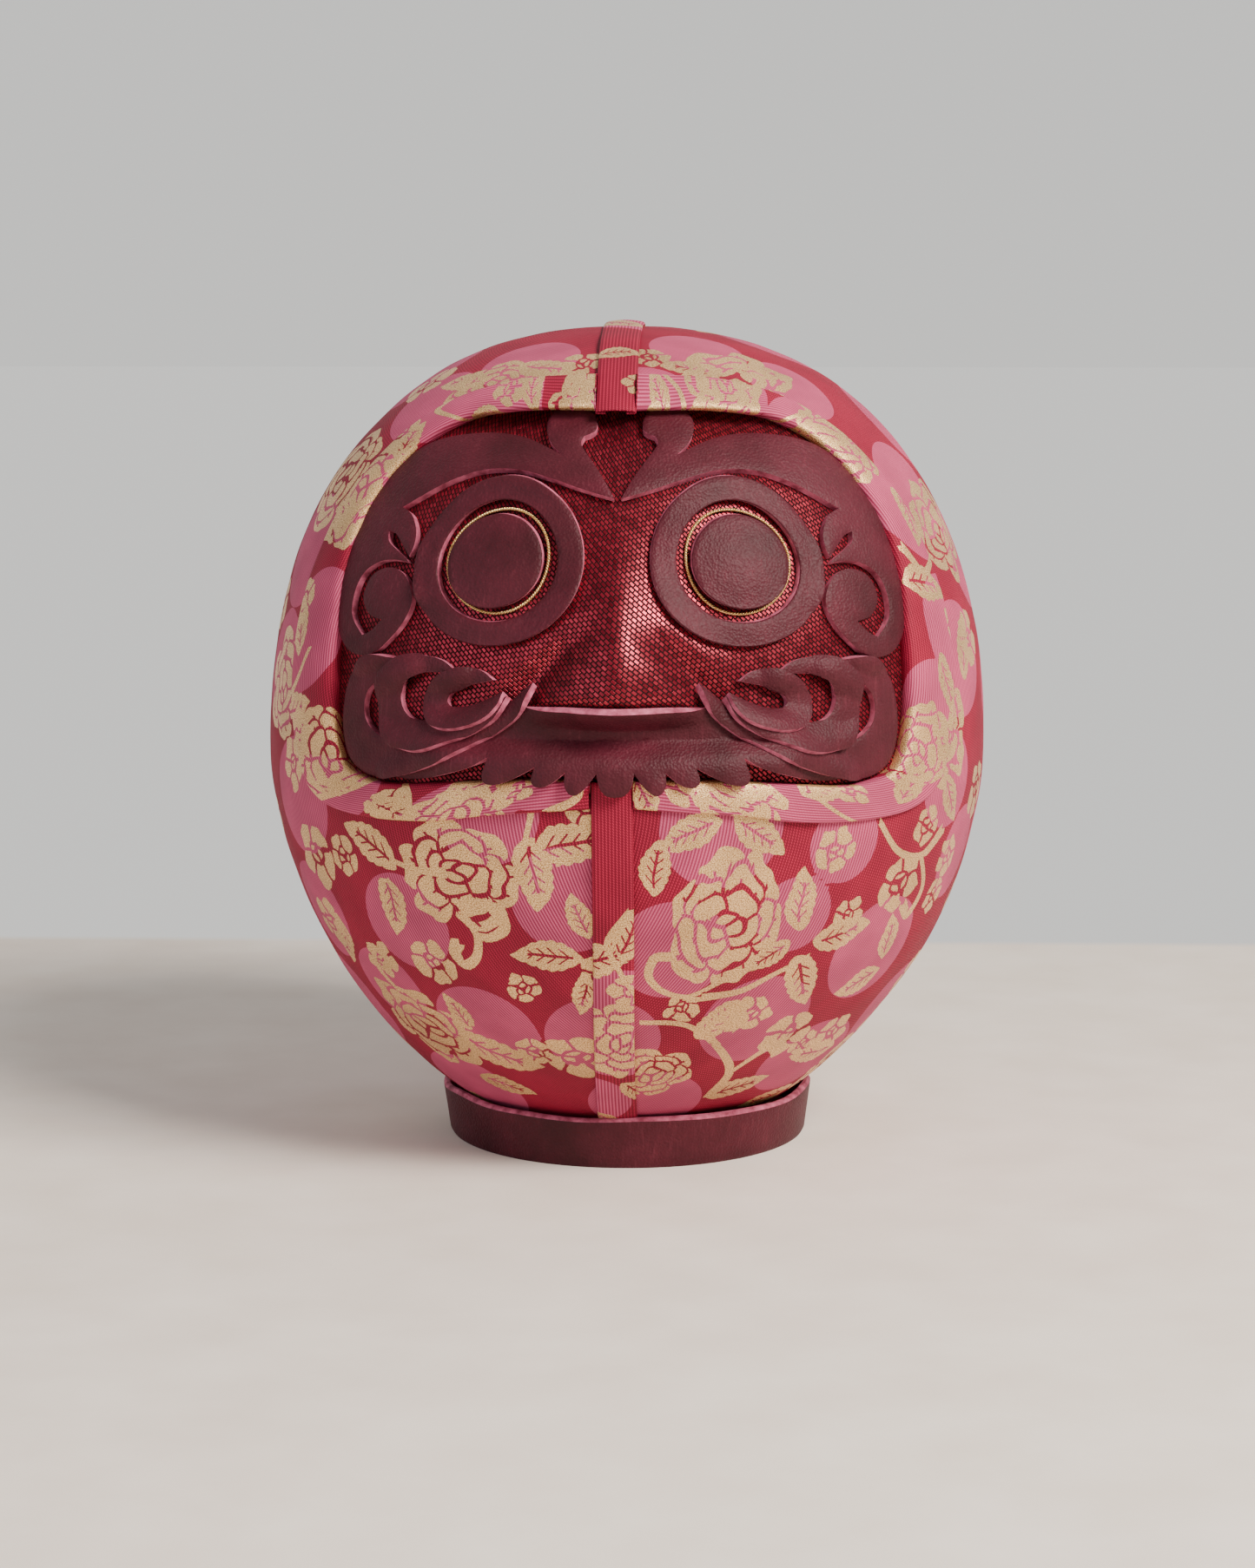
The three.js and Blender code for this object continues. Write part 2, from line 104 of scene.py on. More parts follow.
# %% Body and face surfaces
BODY_RADIUS = 70.5              # outside of the brocade at the waist
WAIST_HEIGHT = 77.5
CROWN_RISE = 82.5               # from the waist to the top of the head
BELLY_DROP = 80.4               # from the waist to the point of the belly, inside the foot ring
CROWN_POWER = 2.28
BELLY_POWER = 1.8
UNROLLED_RADIUS = 68            # cylinder that the face is unrolled from
FACE_RECESS = 1.8               # the face cloth lies this far below the brocade
NOSE_HEIGHT = 8
NOSE_FOOT = 90                  # height where the underside of the nose meets the face
RIDGE_ROUNDING = 2.5
SEAM_X = -0.8                   # the centre seam runs a little to one side
STRIP_HALF_WIDTH = 3.8


def ease(t):
    """Smooth step from 0 to 1."""
    t = np.clip(t, 0, 1)
    return t * t * (3 - 2 * t)


def body_radius(z):
    z = np.asarray(z, float)
    above = z > WAIST_HEIGHT
    reach = np.where(above, CROWN_RISE, BELLY_DROP)
    power = np.where(above, CROWN_POWER, BELLY_POWER)
    t = np.minimum(abs(z - WAIST_HEIGHT) / reach, 1)
    return BODY_RADIUS * (1 - t ** power) ** (1 / power)


def face_relief(u, z):
    """The nose, a ridge that widens downwards, with a crease beside each wing and a hollow under it."""
    ridge = NOSE_HEIGHT * ease((129 - z) / 30) * ease((z - NOSE_FOOT) / 6)
    half_width = 6 + 15 * ease((127 - z) / 28)
    across = np.hypot(u, RIDGE_ROUNDING) - RIDGE_ROUNDING
    flank = np.maximum(0, 1 - across / half_width) ** 1.5
    mouth = 1.2 * np.exp(-((z - 87) / 3.5) ** 2 - (u / 16) ** 2)
    crease = 2.6 * np.exp(-((abs(u) - 7.5 - (106 - z) * 0.9) / 3.6) ** 2 - ((z - 100) / 7.5) ** 2)
    return ridge * flank - mouth - crease


def face_radius(u, z):
    under_brow = 3 * ease((z - 130) / 14) * (1 - ease((abs(u) - 30) / 25))
    return body_radius(z) - FACE_RECESS - under_brow + face_relief(u, z)


def chin_rise(u, z):
    """The beard climbs over the window's lower edge."""
    return 3.2 * ease((88 - z) / 5) * (1 - ease((abs(u) - 27) / 12))


def on_face(u, z, lift):
    """A point above the face cloth, in metres."""
    radius = face_radius(u, z) + lift
    angle = u / UNROLLED_RADIUS
    return np.stack([radius * np.sin(angle), -radius * np.cos(angle), z], -1) * MM


def on_body(u, z, lift=0.0, depth=0.0):
    """A point above the brocade along its normal, and then straight in by a depth, in millimetres."""
    u, z = np.asarray(u, float), np.asarray(z, float)
    slope = body_radius(z + 0.5) - body_radius(z - 0.5)
    share = 1 / np.hypot(1, slope)
    radius = body_radius(z) + share * lift - depth
    angle = u / UNROLLED_RADIUS
    return np.stack([radius * np.sin(angle), -radius * np.cos(angle), z - slope * share * lift], -1)


# The body's outline as equal steps along it, from low inside the foot ring to the crown.
outline_turn = np.sin(np.linspace(0, math.pi / 2, 4000))
LOWEST = 4.6
outline_z = LOWEST + (WAIST_HEIGHT + CROWN_RISE - LOWEST) * outline_turn
outline_r = body_radius(outline_z)
outline_s = np.concatenate([[0], np.cumsum(np.hypot(np.diff(outline_r), np.diff(outline_z)))])
MERIDIAN_LENGTH = outline_s[-1]
print("length of a panel from foot to crown:", round(MERIDIAN_LENGTH, 1), "mm")


def meridian(s):
    """Radius, height and outward normal of the body at a distance along its outline."""
    r = np.interp(s, outline_s, outline_r)
    z = np.interp(s, outline_s, outline_z)
    dr = np.interp(s + 0.5, outline_s, outline_r) - np.interp(s - 0.5, outline_s, outline_r)
    dz = np.interp(s + 0.5, outline_s, outline_z) - np.interp(s - 0.5, outline_s, outline_z)
    length = np.hypot(dr, dz)
    return r, z, dz / length, -dr / length


# %% [markdown]
# ## Handmade unevenness
# Cloth that is pasted by hand is never perfectly round. A few long sine waves in random directions
# are enough to break the too-perfect reflections, and a seed keeps them the same in every run.

# %% Long soft waves
def waves(points, length, seed):
    """A smooth value from about -1 to 1 that changes over the given length, for each point."""
    draw = random.Random(seed)
    total = np.zeros(len(points))
    for _ in range(6):
        direction = np.array([draw.gauss(0, 1) for _ in range(3)])
        direction *= 2 * math.pi / (length * draw.uniform(0.7, 1.5) * np.linalg.norm(direction))
        total += np.sin(points @ direction + draw.uniform(0, 2 * math.pi))
    return total / 3


print("waves at three places round the waist:", waves(np.eye(3) * BODY_RADIUS, 30, 3).round(2))


# %% [markdown]
# ## From flat work to a finished piece
# Each soft piece is made flat first, like a pattern on a cutting table: `x` and `y` are millimetres
# on the table and `z` is how high the material stands. Only then is every corner moved to its place
# on the doll. These helpers read and move the corners, and put a finished mesh into the scene.

# %% Helpers for meshes
def corners(mesh):
    flat = np.empty(len(mesh.vertices) * 3)
    mesh.vertices.foreach_get("co", flat)
    return flat.reshape(-1, 3)


def move_corners(mesh, places):
    mesh.vertices.foreach_set("co", np.asarray(places, np.float32).ravel())
    mesh.update()


def mesh_from(bm, name):
    mesh = bpy.data.meshes.new(name)
    bm.to_mesh(mesh)
    bm.free()
    return mesh


def corner_of_loop(mesh):
    index = np.empty(len(mesh.loops), np.int32)
    mesh.loops.foreach_get("vertex_index", index)
    return index


def write_map(mesh, name, values):
    """Stores one pair of numbers for each face corner as a named UV map."""
    layer = mesh.uv_layers.new(name=name, do_init=False)
    layer.uv.foreach_set("vector", np.asarray(values, np.float32).ravel())


def area_of(mesh):
    return sum(face.area for face in mesh.polygons)


def put_in_scene(name, mesh, materials, stands_for=(), wall=0.0, crease=None):
    """Makes the mesh one named piece of the doll, with an even wall in millimetres if it needs one."""
    for material in materials:
        mesh.materials.append(material)
    mesh.shade_smooth()
    if crease:
        mesh.set_sharp_from_angle(angle=math.radians(crease))
    thing = bpy.data.objects.new(name, mesh)
    bpy.context.scene.collection.objects.link(thing)
    if wall:
        thickness = thing.modifiers.new("cloth thickness", "SOLIDIFY")
        thickness.thickness = wall * MM
        thickness.offset = -1
        thickness.use_even_offset = False
    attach(thing, "root")
    if stands_for:
        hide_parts(*stands_for)
    print(f"{name}: {len(mesh.polygons)} faces, {area_of(mesh) * 1e6:.0f} mm2")
    return thing


# %% [markdown]
# ## One function for shader nodes
# Every material below is a small graph. A kind in capitals is an operation of the Math node, and
# anything else is the rest of the node's own name, such as `TexNoise`. Values fill the inputs in
# order, and `into` fills them by name.

# %% The node function and the colour function
def node(tree, kind, *values, out=0, into=None, **settings):
    """Adds one node, sets it up, links or fills its inputs, and returns one of its outputs."""
    made = tree.nodes.new("ShaderNodeMath" if kind.isupper() else "ShaderNode" + kind)
    if kind.isupper():
        made.operation = kind
    for setting, value in settings.items():
        setattr(made, setting, value)
    for place, value in [*enumerate(values), *(into or {}).items()]:
        if isinstance(value, bpy.types.NodeSocket):
            tree.links.new(value, made.inputs[place])
        elif value is not None:
            made.inputs[place].default_value = value
    return made.outputs[out] if made.outputs else made


def linear(hex_colour):
    """An sRGB colour such as #C8A060 as the linear values that a shader works with."""
    shares = [int(hex_colour[i:i + 2], 16) / 255 for i in (1, 3, 5)]
    return [c / 12.92 if c <= 0.04045 else ((c + 0.055) / 1.055) ** 2.4 for c in shares] + [1.0]


print("crimson #C82850 is", [round(c, 3) for c in linear("#C82850")[:3]], "in linear values")


def new_material(name):
    """An empty material; returns it with its tree and a surface function that ends it."""
    material = bpy.data.materials.new(name)
    material.use_nodes = True
    tree = material.node_tree
    tree.nodes.clear()

    def surface(**inputs):
        into = {key.replace("_", " "): value for key, value in inputs.items()}
        shader = node(tree, "BsdfPrincipled", into=into)
        node(tree, "OutputMaterial", shader)
        return material

    return tree, surface


# %% [markdown]
# ## The brocade's drawing
# The brocade is a crimson ground with big pink discs, and over them peonies, leaves and stems in
# gold thread. A weaver draws one motif and repeats it, and so does this script. Each face of the
# cloth stores where it lies on its nearest motif, in that motif's own coordinates, and the shader
# draws the shape from them, so that the edges stay sharp at any distance. Ten is added for each new
# motif: the shader wraps it away again for the shape, and keeps it for the noise, so that no two
# flowers are quite alike.

# %% Storing motif coordinates on a mesh
MOTIF_STEP = 10                 # distance between two motifs in the stored coordinates
MOTIF_LIMIT = 4.5               # local coordinates further out than this are all the same


def motif_axes(centres, rights, ups, widths, heights):
    """Frames that measure a place in half widths and half heights of each motif."""
    outs = np.cross(rights, ups)
    half_w = np.asarray(widths)[:, None] / 2
    half_h = np.asarray(heights)[:, None] / 2
    return np.asarray(centres), np.stack([rights / half_w, ups / half_h, outs / half_h], 1)


def write_motifs(mesh, name, spots, motifs):
    """Each face takes the coordinates of the motif that is nearest to it."""
    centres, axes = motifs
    loops = corner_of_loop(mesh)
    starts = np.empty(len(mesh.polygons), np.int32)
    totals = np.empty(len(mesh.polygons), np.int32)
    mesh.polygons.foreach_get("loop_start", starts)
    mesh.polygons.foreach_get("loop_total", totals)
    middles = np.add.reduceat(spots[loops], starts, axis=0) / totals[:, None]
    best = np.full(len(middles), 1e9)
    nearest = np.zeros(len(middles), int)
    for k, (centre, axis) in enumerate(zip(centres, axes)):
        away = (((middles - centre) @ axis.T) ** 2).sum(1)
        closer = away < best
        best[closer] = away[closer]
        nearest[closer] = k
    chosen = np.repeat(nearest, totals)
    local = np.einsum("lc,ldc->ld", spots[loops] - centres[chosen], axes[chosen][:, :2])
    write_map(mesh, name, np.clip(local, -MOTIF_LIMIT, MOTIF_LIMIT) + MOTIF_STEP * chosen[:, None])


STEM_END = 0.9                  # a face further along than this from its nearest sample has no stem
STEM_OUTSIDE = 9.0              # stored there instead of the distance across


def write_stems(mesh, spots, stems):
    """Each face takes its distance along and across the nearest stem, across in half widths."""
    points, forwards, sides, lengths, half_widths = stems
    tree = KDTree(len(points))
    for k, point in enumerate(points):
        tree.insert(point, k)
    tree.balance()
    values = np.empty((len(mesh.loops), 2))
    for face in mesh.polygons:
        loops = list(face.loop_indices)
        at = spots[list(face.vertices)]
        k = tree.find(at.mean(0))[1]
        past_end = abs((at.mean(0) - points[k]) @ forwards[k]) > STEM_END
        values[loops, 0] = lengths[k] + (at - points[k]) @ forwards[k]
        values[loops, 1] = STEM_OUTSIDE if past_end else (at - points[k]) @ sides[k] / half_widths[k]
    write_map(mesh, "stem", values)


def write_discs(mesh, spots, centres, radii):
    """Depth inside the nearest pink disc, for each corner; negative outside."""
    depth = np.full(len(spots), -99.0)
    for centre, radius in zip(centres, radii):
        depth = np.maximum(depth, radius - np.linalg.norm(spots - centre, axis=1))
    layer = mesh.attributes.new("disc_depth", "FLOAT", "POINT")
    layer.data.foreach_set("value", depth.astype(np.float32))


# %% [markdown]
# ## Where the motifs lie
# On the front the flowers are placed one by one. The same kind of spray, a peony with leaves round
# it and a curled stem, is then sown over the rest of the body with a fixed seed, keeping its
# distance from what is already there. A place is given unrolled, and a turn of 0 points round the
# doll to the right and 90 points up.

# %% The drawing on the body
PEONIES = [     # u, z, width, height, turn
    (-30, 62, 24, 21, 10), (-54, 28, 23, 20, -30), (21, 54, 21, 28, 0), (43, 151, 24, 20, 15),
    (70, 86, 20, 22, 40), (-82, 92, 22, 20, 0), (88, 122, 22, 22, 0), (-84, 132, 22, 20, 60),
    (9, 21, 15, 15, 0), (-45, 150, 20, 16, 0),
]
LEAVES = [      # u, z, length, turn
    (-50, 66, 15, 150), (-47, 54, 13, 265), (-15, 63, 15, 280), (-8, 69, 16, 10),
    (-33, 24, 18, -20), (-39, 33, 10, 100), (-38, 16, 12, -30), (-14, 47, 14, 175),
    (-7, 55, 10, 110), (-7, 39, 10, 250), (36, 57, 13, 82), (48, 49, 14, 12), (41, 40, 14, -65),
    (31, 46, 10, 215), (13, 71, 13, 200), (26, 70, 13, -35), (7, 65, 12, 80), (64, 46, 11, 95),
    (60, 37, 12, 205), (39, 16, 13, 15), (56, 152, 12, -20), (27, 153, 12, 160), (23, 33, 12, 60),
    (-70, 44, 12, 240), (-61, 150, 12, 190), (-30, 153, 13, 0), (83, 100, 13, 80),
    (74, 72, 12, -60),
]
BLOSSOMS = [    # u, z, size
    (-69, 61, 13), (-11, 25, 13), (42, 66, 9), (61, 57, 12), (44, 28, 12), (52, 25, 7),
    (-57, 42, 9), (66, 68, 8), (-20, 40, 7), (14, 36, 7), (-16, 154, 9), (12, 155, 8),
    (-75, 78, 10), (78, 60, 9),
]
STEMS = [       # half width, then places in u, z
    (1.0, [(-30, 54), (-28, 50), (-29, 46), (-32, 44), (-34, 46), (-33, 48)]),
    (1.2, [(-28, 50), (-25, 50), (-22, 52), (-23, 56)]),
    (0.7, [(21, 41), (15, 38.5), (9.5, 39.8), (6.4, 43), (7.4, 46.6), (10, 47)]),
    (0.7, [(40, 45), (33, 42), (26, 39), (16, 38)]),
    (0.8, [(6, 33), (16, 32), (26, 26), (32, 20), (30, 15)]), (0.8, [(32, 20), (38, 24), (44, 27)]),
    (0.9, [(25, 27), (21, 31), (26, 35), (29, 33), (27, 31)]),
    (0.7, [(-16, 70), (-15, 76), (-18, 80)]),
    (0.8, [(-57, 36), (-60, 40), (-58, 44), (-55, 42), (-57, 40)]),
    (0.8, [(52, 70), (58, 64), (66, 62), (72, 66)]),
    (0.8, [(66, 62), (70, 55), (68, 50), (65, 52)]), (0.7, [(-44, 63), (-39, 62), (-33, 62)]),
]
DISCS = [       # u, z, radius
    (-45, 51, 11.5), (-33, 30, 11.5), (-9, 58, 11), (-76, 49, 11.5), (-73, 72, 11.5), (-59, 36, 9),
    (-24, 75, 11), (19, 72, 12), (44, 67, 11), (35, 54, 8.5), (11, 48, 12), (60, 44, 11.5),
    (33, 32, 12), (58, 21, 11), (8, 14, 11), (-55, 14, 11), (38, 156, 11), (-41, 154, 12),
    (62, 149, 11), (-66, 146, 11), (82, 130, 12), (-84, 118, 12), (80, 98, 12), (-84, 95, 12),
    (73, 76, 11), (84, 60, 12),
]
FACE_MIDDLE = [(0, z) for z in (90, 105, 120, 135)]     # no flower is sown in the window
PEONY_REACH, BLOSSOM_REACH, DISC_REACH = 39, 21, 22     # least distance from one to the next, in mm
DISC_GAP = 0.5                  # crimson left between two discs that would touch
SMALLEST_DISC = 7
drawing = random.Random(20)


def surface_frames(places):
    """Places on the body with the directions to the right and up the surface at each."""
    u = np.array([p[0] for p in places], float)
    z = np.array([p[1] for p in places], float)
    rights = np.stack([np.cos(u / UNROLLED_RADIUS), np.sin(u / UNROLLED_RADIUS), np.zeros(len(u))], -1)
    ups = on_body(u, z + 0.3) - on_body(u, z - 0.3)
    ups /= np.linalg.norm(ups, axis=1)[:, None]
    return on_body(u, z), rights, ups


def turned(rights, ups, degrees):
    angle = np.radians(np.asarray(degrees, float))[:, None]
    return rights * np.cos(angle) + ups * np.sin(angle), ups * np.cos(angle) - rights * np.sin(angle)


def beside(u, z, distance, degrees):
    """The unrolled place at a distance from another one, measured on the cloth."""
    slope = float(body_radius(z + 0.5) - body_radius(z - 0.5))
    across = distance * math.cos(math.radians(degrees)) * UNROLLED_RADIUS / max(float(body_radius(z)), 12)
    up = distance * math.sin(math.radians(degrees)) / math.hypot(1, slope)
    return u + across, min(max(z + up, 6), 158.5)


CURL_RADIUS, CURL_STEPS = 4.4, 10


def tendril(u, z, start, way):
    """A curl that leaves a flower's rim and winds inwards once and a quarter."""
    points = []
    for k in range(CURL_STEPS + 1):
        angle = k / CURL_STEPS * 2.5 * math.pi
        radius = CURL_RADIUS - 0.29 * k
        along = start + CURL_RADIUS - radius * math.cos(angle)
        aside = radius * math.sin(angle)
        aim = way + math.degrees(math.atan2(aside, along))
        points.append(beside(u, z, math.hypot(along, aside), aim))
    return points


def sow(taken, reach, tries):
    """Random places over the body that keep clear of each other and of those taken."""
    found = []
    spots = [on_body(u, z) for u, z in taken]
    for _ in range(tries):
        s = drawing.uniform(0, MERIDIAN_LENGTH)
        u = drawing.uniform(-math.pi, math.pi) * UNROLLED_RADIUS
        r, z = (float(x) for x in meridian(s)[:2])
        if drawing.random() > r / BODY_RADIUS or z > 158:
            continue
        spot = on_body(u, z)
        if all(np.linalg.norm(spot - other) > reach for other in spots):
            spots.append(spot)
            found.append((u, z))
    return found


for u, z in sow([p[:2] for p in PEONIES] + FACE_MIDDLE, PEONY_REACH, 900):
    size = drawing.uniform(20, 25)
    PEONIES.append((u, z, size, size * drawing.uniform(0.8, 1.1), drawing.uniform(0, 360)))
    first = drawing.uniform(0, 360)
    for k in range(4):
        way = first + 62 * k + drawing.uniform(-10, 10)
        LEAVES.append((
            *beside(u, z, size * 0.78, way), drawing.uniform(11, 15), way + drawing.uniform(-25, 25),
        ))
    STEMS.append((0.6, tendril(u, z, size * 0.48, first - 70)))
for u, z in sow([p[:2] for p in PEONIES], BLOSSOM_REACH, 900):
    BLOSSOMS.append((u, z, drawing.uniform(7, 12)))
for u, z in sow([d[:2] for d in DISCS], DISC_REACH, 5000):
    DISCS.append((u, z, drawing.uniform(11, 12.5)))
for k, (u, z, radius) in enumerate(DISCS):
    others = [on_body(*disc[:2]) for disc in DISCS[:k] + DISCS[k + 1:]]
    nearest = min(np.linalg.norm(on_body(u, z) - other) for other in others)
    DISCS[k] = (u, z, max(min(radius, (nearest - DISC_GAP) / 2), SMALLEST_DISC))
print(len(PEONIES), "peonies,", len(LEAVES), "leaves,", len(BLOSSOMS), "blossoms,", len(DISCS), "discs")


# %% [markdown]
# ## The drawing on narrow pieces
# The border and the seam strips are cut from the same roll of brocade, so they show bits of the
# same motifs at random. Their drawing is sown on the flat strip before it is folded.

# %% Preparing both drawings
def stroke(points, steps):
    """A smooth curve through the points, as many short steps."""
    points = np.asarray(points, float)
    padded = np.vstack([points[:1], points, points[-1:]])
    t = (np.arange(steps) / steps)[:, None]
    parts = []
    for a, b, c, d in zip(padded[:-3], padded[1:-2], padded[2:-1], padded[3:]):
        slope_b, slope_c = (c - a) / 2, (d - b) / 2
        parts.append((2 * t ** 3 - 3 * t ** 2 + 1) * b + (t ** 3 - 2 * t ** 2 + t) * slope_b
                     + (3 * t ** 2 - 2 * t ** 3) * c + (t ** 3 - t ** 2) * slope_c)
    return np.vstack([*parts, points[-1:]])


def stem_samples(strokes, place, normal):
    """Close samples of every stem: place, direction, side, length so far and half width."""
    rows = []
    for half_width, points in strokes:
        line = stroke(points, 12)
        spots = place(line[:, 0], line[:, 1])
        outs = normal(line[:, 0], line[:, 1])
        forward = np.gradient(spots, axis=0)
        forward /= np.maximum(np.linalg.norm(forward, axis=1), 1e-9)[:, None]
        side = np.cross(outs, forward)
        side /= np.linalg.norm(side, axis=1)[:, None]
        length = np.concatenate([[0], np.cumsum(np.linalg.norm(np.diff(spots, axis=0), axis=1))])
        swell = half_width * (0.75 + 0.75 * (length / length[-1]) ** 2)
        rows += list(zip(spots, forward, side, length, swell))
    return [np.array(column) for column in zip(*rows)]


def body_drawing():
    peonies = surface_frames(PEONIES)
    leaves = surface_frames(LEAVES)
    blossoms = surface_frames(BLOSSOMS)
    discs = surface_frames(DISCS)

    def outward(u, z):
        spots, rights, ups = surface_frames(list(zip(u, z)))
        return np.cross(rights, ups)

    return {
        "peony": motif_axes(peonies[0], *turned(peonies[1], peonies[2], [p[4] for p in PEONIES]),
                            [p[2] for p in PEONIES], [p[3] for p in PEONIES]),
        "leaf": motif_axes(leaves[0], *turned(leaves[1], leaves[2], [p[3] for p in LEAVES]),
                           [p[2] for p in LEAVES], [p[2] for p in LEAVES]),
        "blossom": motif_axes(*blossoms, [p[2] for p in BLOSSOMS], [p[2] for p in BLOSSOMS]),
        "stem": stem_samples(STEMS, on_body, outward),
        "disc": (discs[0], [d[2] for d in DISCS]),
    }


def flat_drawing(peonies, leaves, blossoms, stems, discs):
    """The same motifs on a flat strip that lies along x; each is x, y, size and turn."""
    def frames(items):
        centres = np.array([[item[0], item[1], 0.0] for item in items])
        rights, ups = np.tile([1.0, 0, 0], (len(items), 1)), np.tile([0, 1.0, 0], (len(items), 1))
        return centres, *turned(rights, ups, [item[3] for item in items])

    def sized(items):
        sizes = [item[2] for item in items]
        return motif_axes(*frames(items), sizes, sizes)

    return {
        "peony": sized(peonies), "leaf": sized(leaves), "blossom": sized(blossoms),
        "stem": stem_samples(
            stems, lambda x, y: np.stack([x, y, 0 * x], -1), lambda x, y: np.tile([0, 0, 1.0], (len(x), 1))),
        "disc": (frames(discs)[0], [item[2] for item in discs]),
    }


def strip_drawing(length, seed, start=0):
    """Motifs sown along a strip, from a start to its end."""
    draw = random.Random(seed)

    def sown(pitch, spread, low, high):
        count = max(2, round((length - start) / pitch))
        step = (length - start) / count
        return [(start + step * (k + draw.uniform(0.25, 0.75)), draw.uniform(-spread, spread),
                 draw.uniform(low, high), draw.uniform(0, 360)) for k in range(count)]

    stems = []
    for x, y, size, turn in sown(32, 1, 5, 7):
        way = 1 if turn > 180 else -1
        stems.append((0.7, [(x, -size * way), (x + 4, -2 * way), (x + 6, 3 * way), (x + 2, size * way)]))
    return [sown(44, 7, 18, 22), sown(17, 5, 11, 14), sown(26, 5, 7, 10), stems, sown(21, 7, 10, 12.5)]


def draw_brocade(mesh, spots, weave, drawn):
    """Writes everything that the brocade material reads: weave, motifs, stems and discs."""
    write_map(mesh, "weave", weave[corner_of_loop(mesh)])
    for kind in ("peony", "leaf", "blossom"):
        write_motifs(mesh, kind, spots, drawn[kind])
    write_stems(mesh, spots, drawn["stem"])
    write_discs(mesh, spots, *drawn["disc"])


on_the_body = body_drawing()
print(len(on_the_body["stem"][0]), "stem samples")

# %% [markdown]
# ## Brocade
# Brocade is a satin or rib weave with extra gold thread floating on its face where the drawing is.
# To the eye it has three things: fine ribs that run one way, a soft sheen across the ribs, and gold
# shapes that are a little raised and much shinier than the ground. The gold lies in such short
# floats that it glints like fine sand, without ribs.

# %% Drawing a flower, a leaf and a stem with nodes
RIB_PITCH = 0.63                # from one rib of the ground to the next, in mm
STITCH_PITCH = 0.5              # from one light stitch to the next along a rib
STITCH_SHIFT = 0.37             # from rib to rib the stitches move on by this share of their pitch
GLITTER = 0.22                  # size of the glints on the gold thread
CLOUD_SCALE = 0.09              # broad lighter and darker places, about 11 mm across
DRAWN_GAP = 0.75                # width of the gaps between two gold petals, in mm
WANDER = 0.62                   # how far a noise pulls a flower out of true, in its own radii
SCALLOP = 0.26                  # depth of the scallops on a ring of petals, as a share of its reach
VEIN_LENGTH = 0.13              # length of the short veins at the foot of a petal, as such a share


def on_motif(tree, name):
    """The stored coordinates, and the same ones with the steps from motif to motif taken away."""
    place = node(tree, "UVMap", uv_map=name)
    half = MOTIF_STEP / 2
    return place, node(tree, "VectorMath", place, (half,) * 3, (-half,) * 3, operation="WRAP")


def flower_mask(tree, name, rings, radius_mm):
    """Gold petals in scalloped rings, with thin gaps between them; 1 on gold and 0 elsewhere."""
    gap = DRAWN_GAP / radius_mm
    place, wrapped = on_motif(tree, name)
    wander = node(tree, "TexNoise", into={"Vector": place, "Scale": 1.0}, out=1, noise_dimensions="2D")
    wander = node(tree, "VectorMath", wander, (0.5, 0.5, 0.5), operation="SUBTRACT")
    wander = node(tree, "VectorMath", wander, (WANDER, WANDER, 0), operation="MULTIPLY")
    local = node(tree, "VectorMath", wrapped, wander, operation="ADD")
    x = node(tree, "SeparateXYZ", local)
    y = node(tree, "SeparateXYZ", local, out=1)
    away = node(tree, "SQRT", node(tree, "ADD", node(tree, "MULTIPLY", x, x), node(tree, "MULTIPLY", y, y)))
    angle = node(tree, "ARCTAN2", y, x)
    gold = 1.0
    inner_rim = None
    for reach, petals, start in rings:
        turn = node(tree, "MULTIPLY_ADD", angle, petals / 2, start)
        lobe = node(tree, "ABSOLUTE", node(tree, "COSINE", turn))
        scallop = node(tree, "POWER", lobe, 0.55)
        rim = node(tree, "MULTIPLY_ADD", scallop, SCALLOP * reach, (1 - SCALLOP) * reach)
        cut = node(tree, "LESS_THAN", node(tree, "MULTIPLY", lobe, away), gap * petals / 4)
        if inner_rim is not None:
            edge = node(tree, "LESS_THAN", away, node(tree, "ADD", inner_rim, gap))
            ray = node(tree, "MULTIPLY_ADD", angle, petals * 1.5, start)
            vein = node(tree, "MULTIPLY", node(tree, "ABSOLUTE", node(tree, "SINE", ray)), away)
            vein = node(tree, "LESS_THAN", vein, gap * petals * 0.55)
            short = node(tree, "LESS_THAN", away, node(tree, "ADD", inner_rim, VEIN_LENGTH * reach))
            vein = node(tree, "MULTIPLY", vein, short)
            cut = node(tree, "MAXIMUM", cut, node(tree, "MAXIMUM", edge, vein))
            cut = node(tree, "MULTIPLY", cut, node(tree, "GREATER_THAN", away, inner_rim))
        cut = node(tree, "MULTIPLY", cut, node(tree, "LESS_THAN", away, rim))
        gold = node(tree, "MULTIPLY", gold, node(tree, "SUBTRACT", 1.0, cut))
        inner_rim = rim
    return node(tree, "MULTIPLY", gold, node(tree, "LESS_THAN", away, inner_rim))


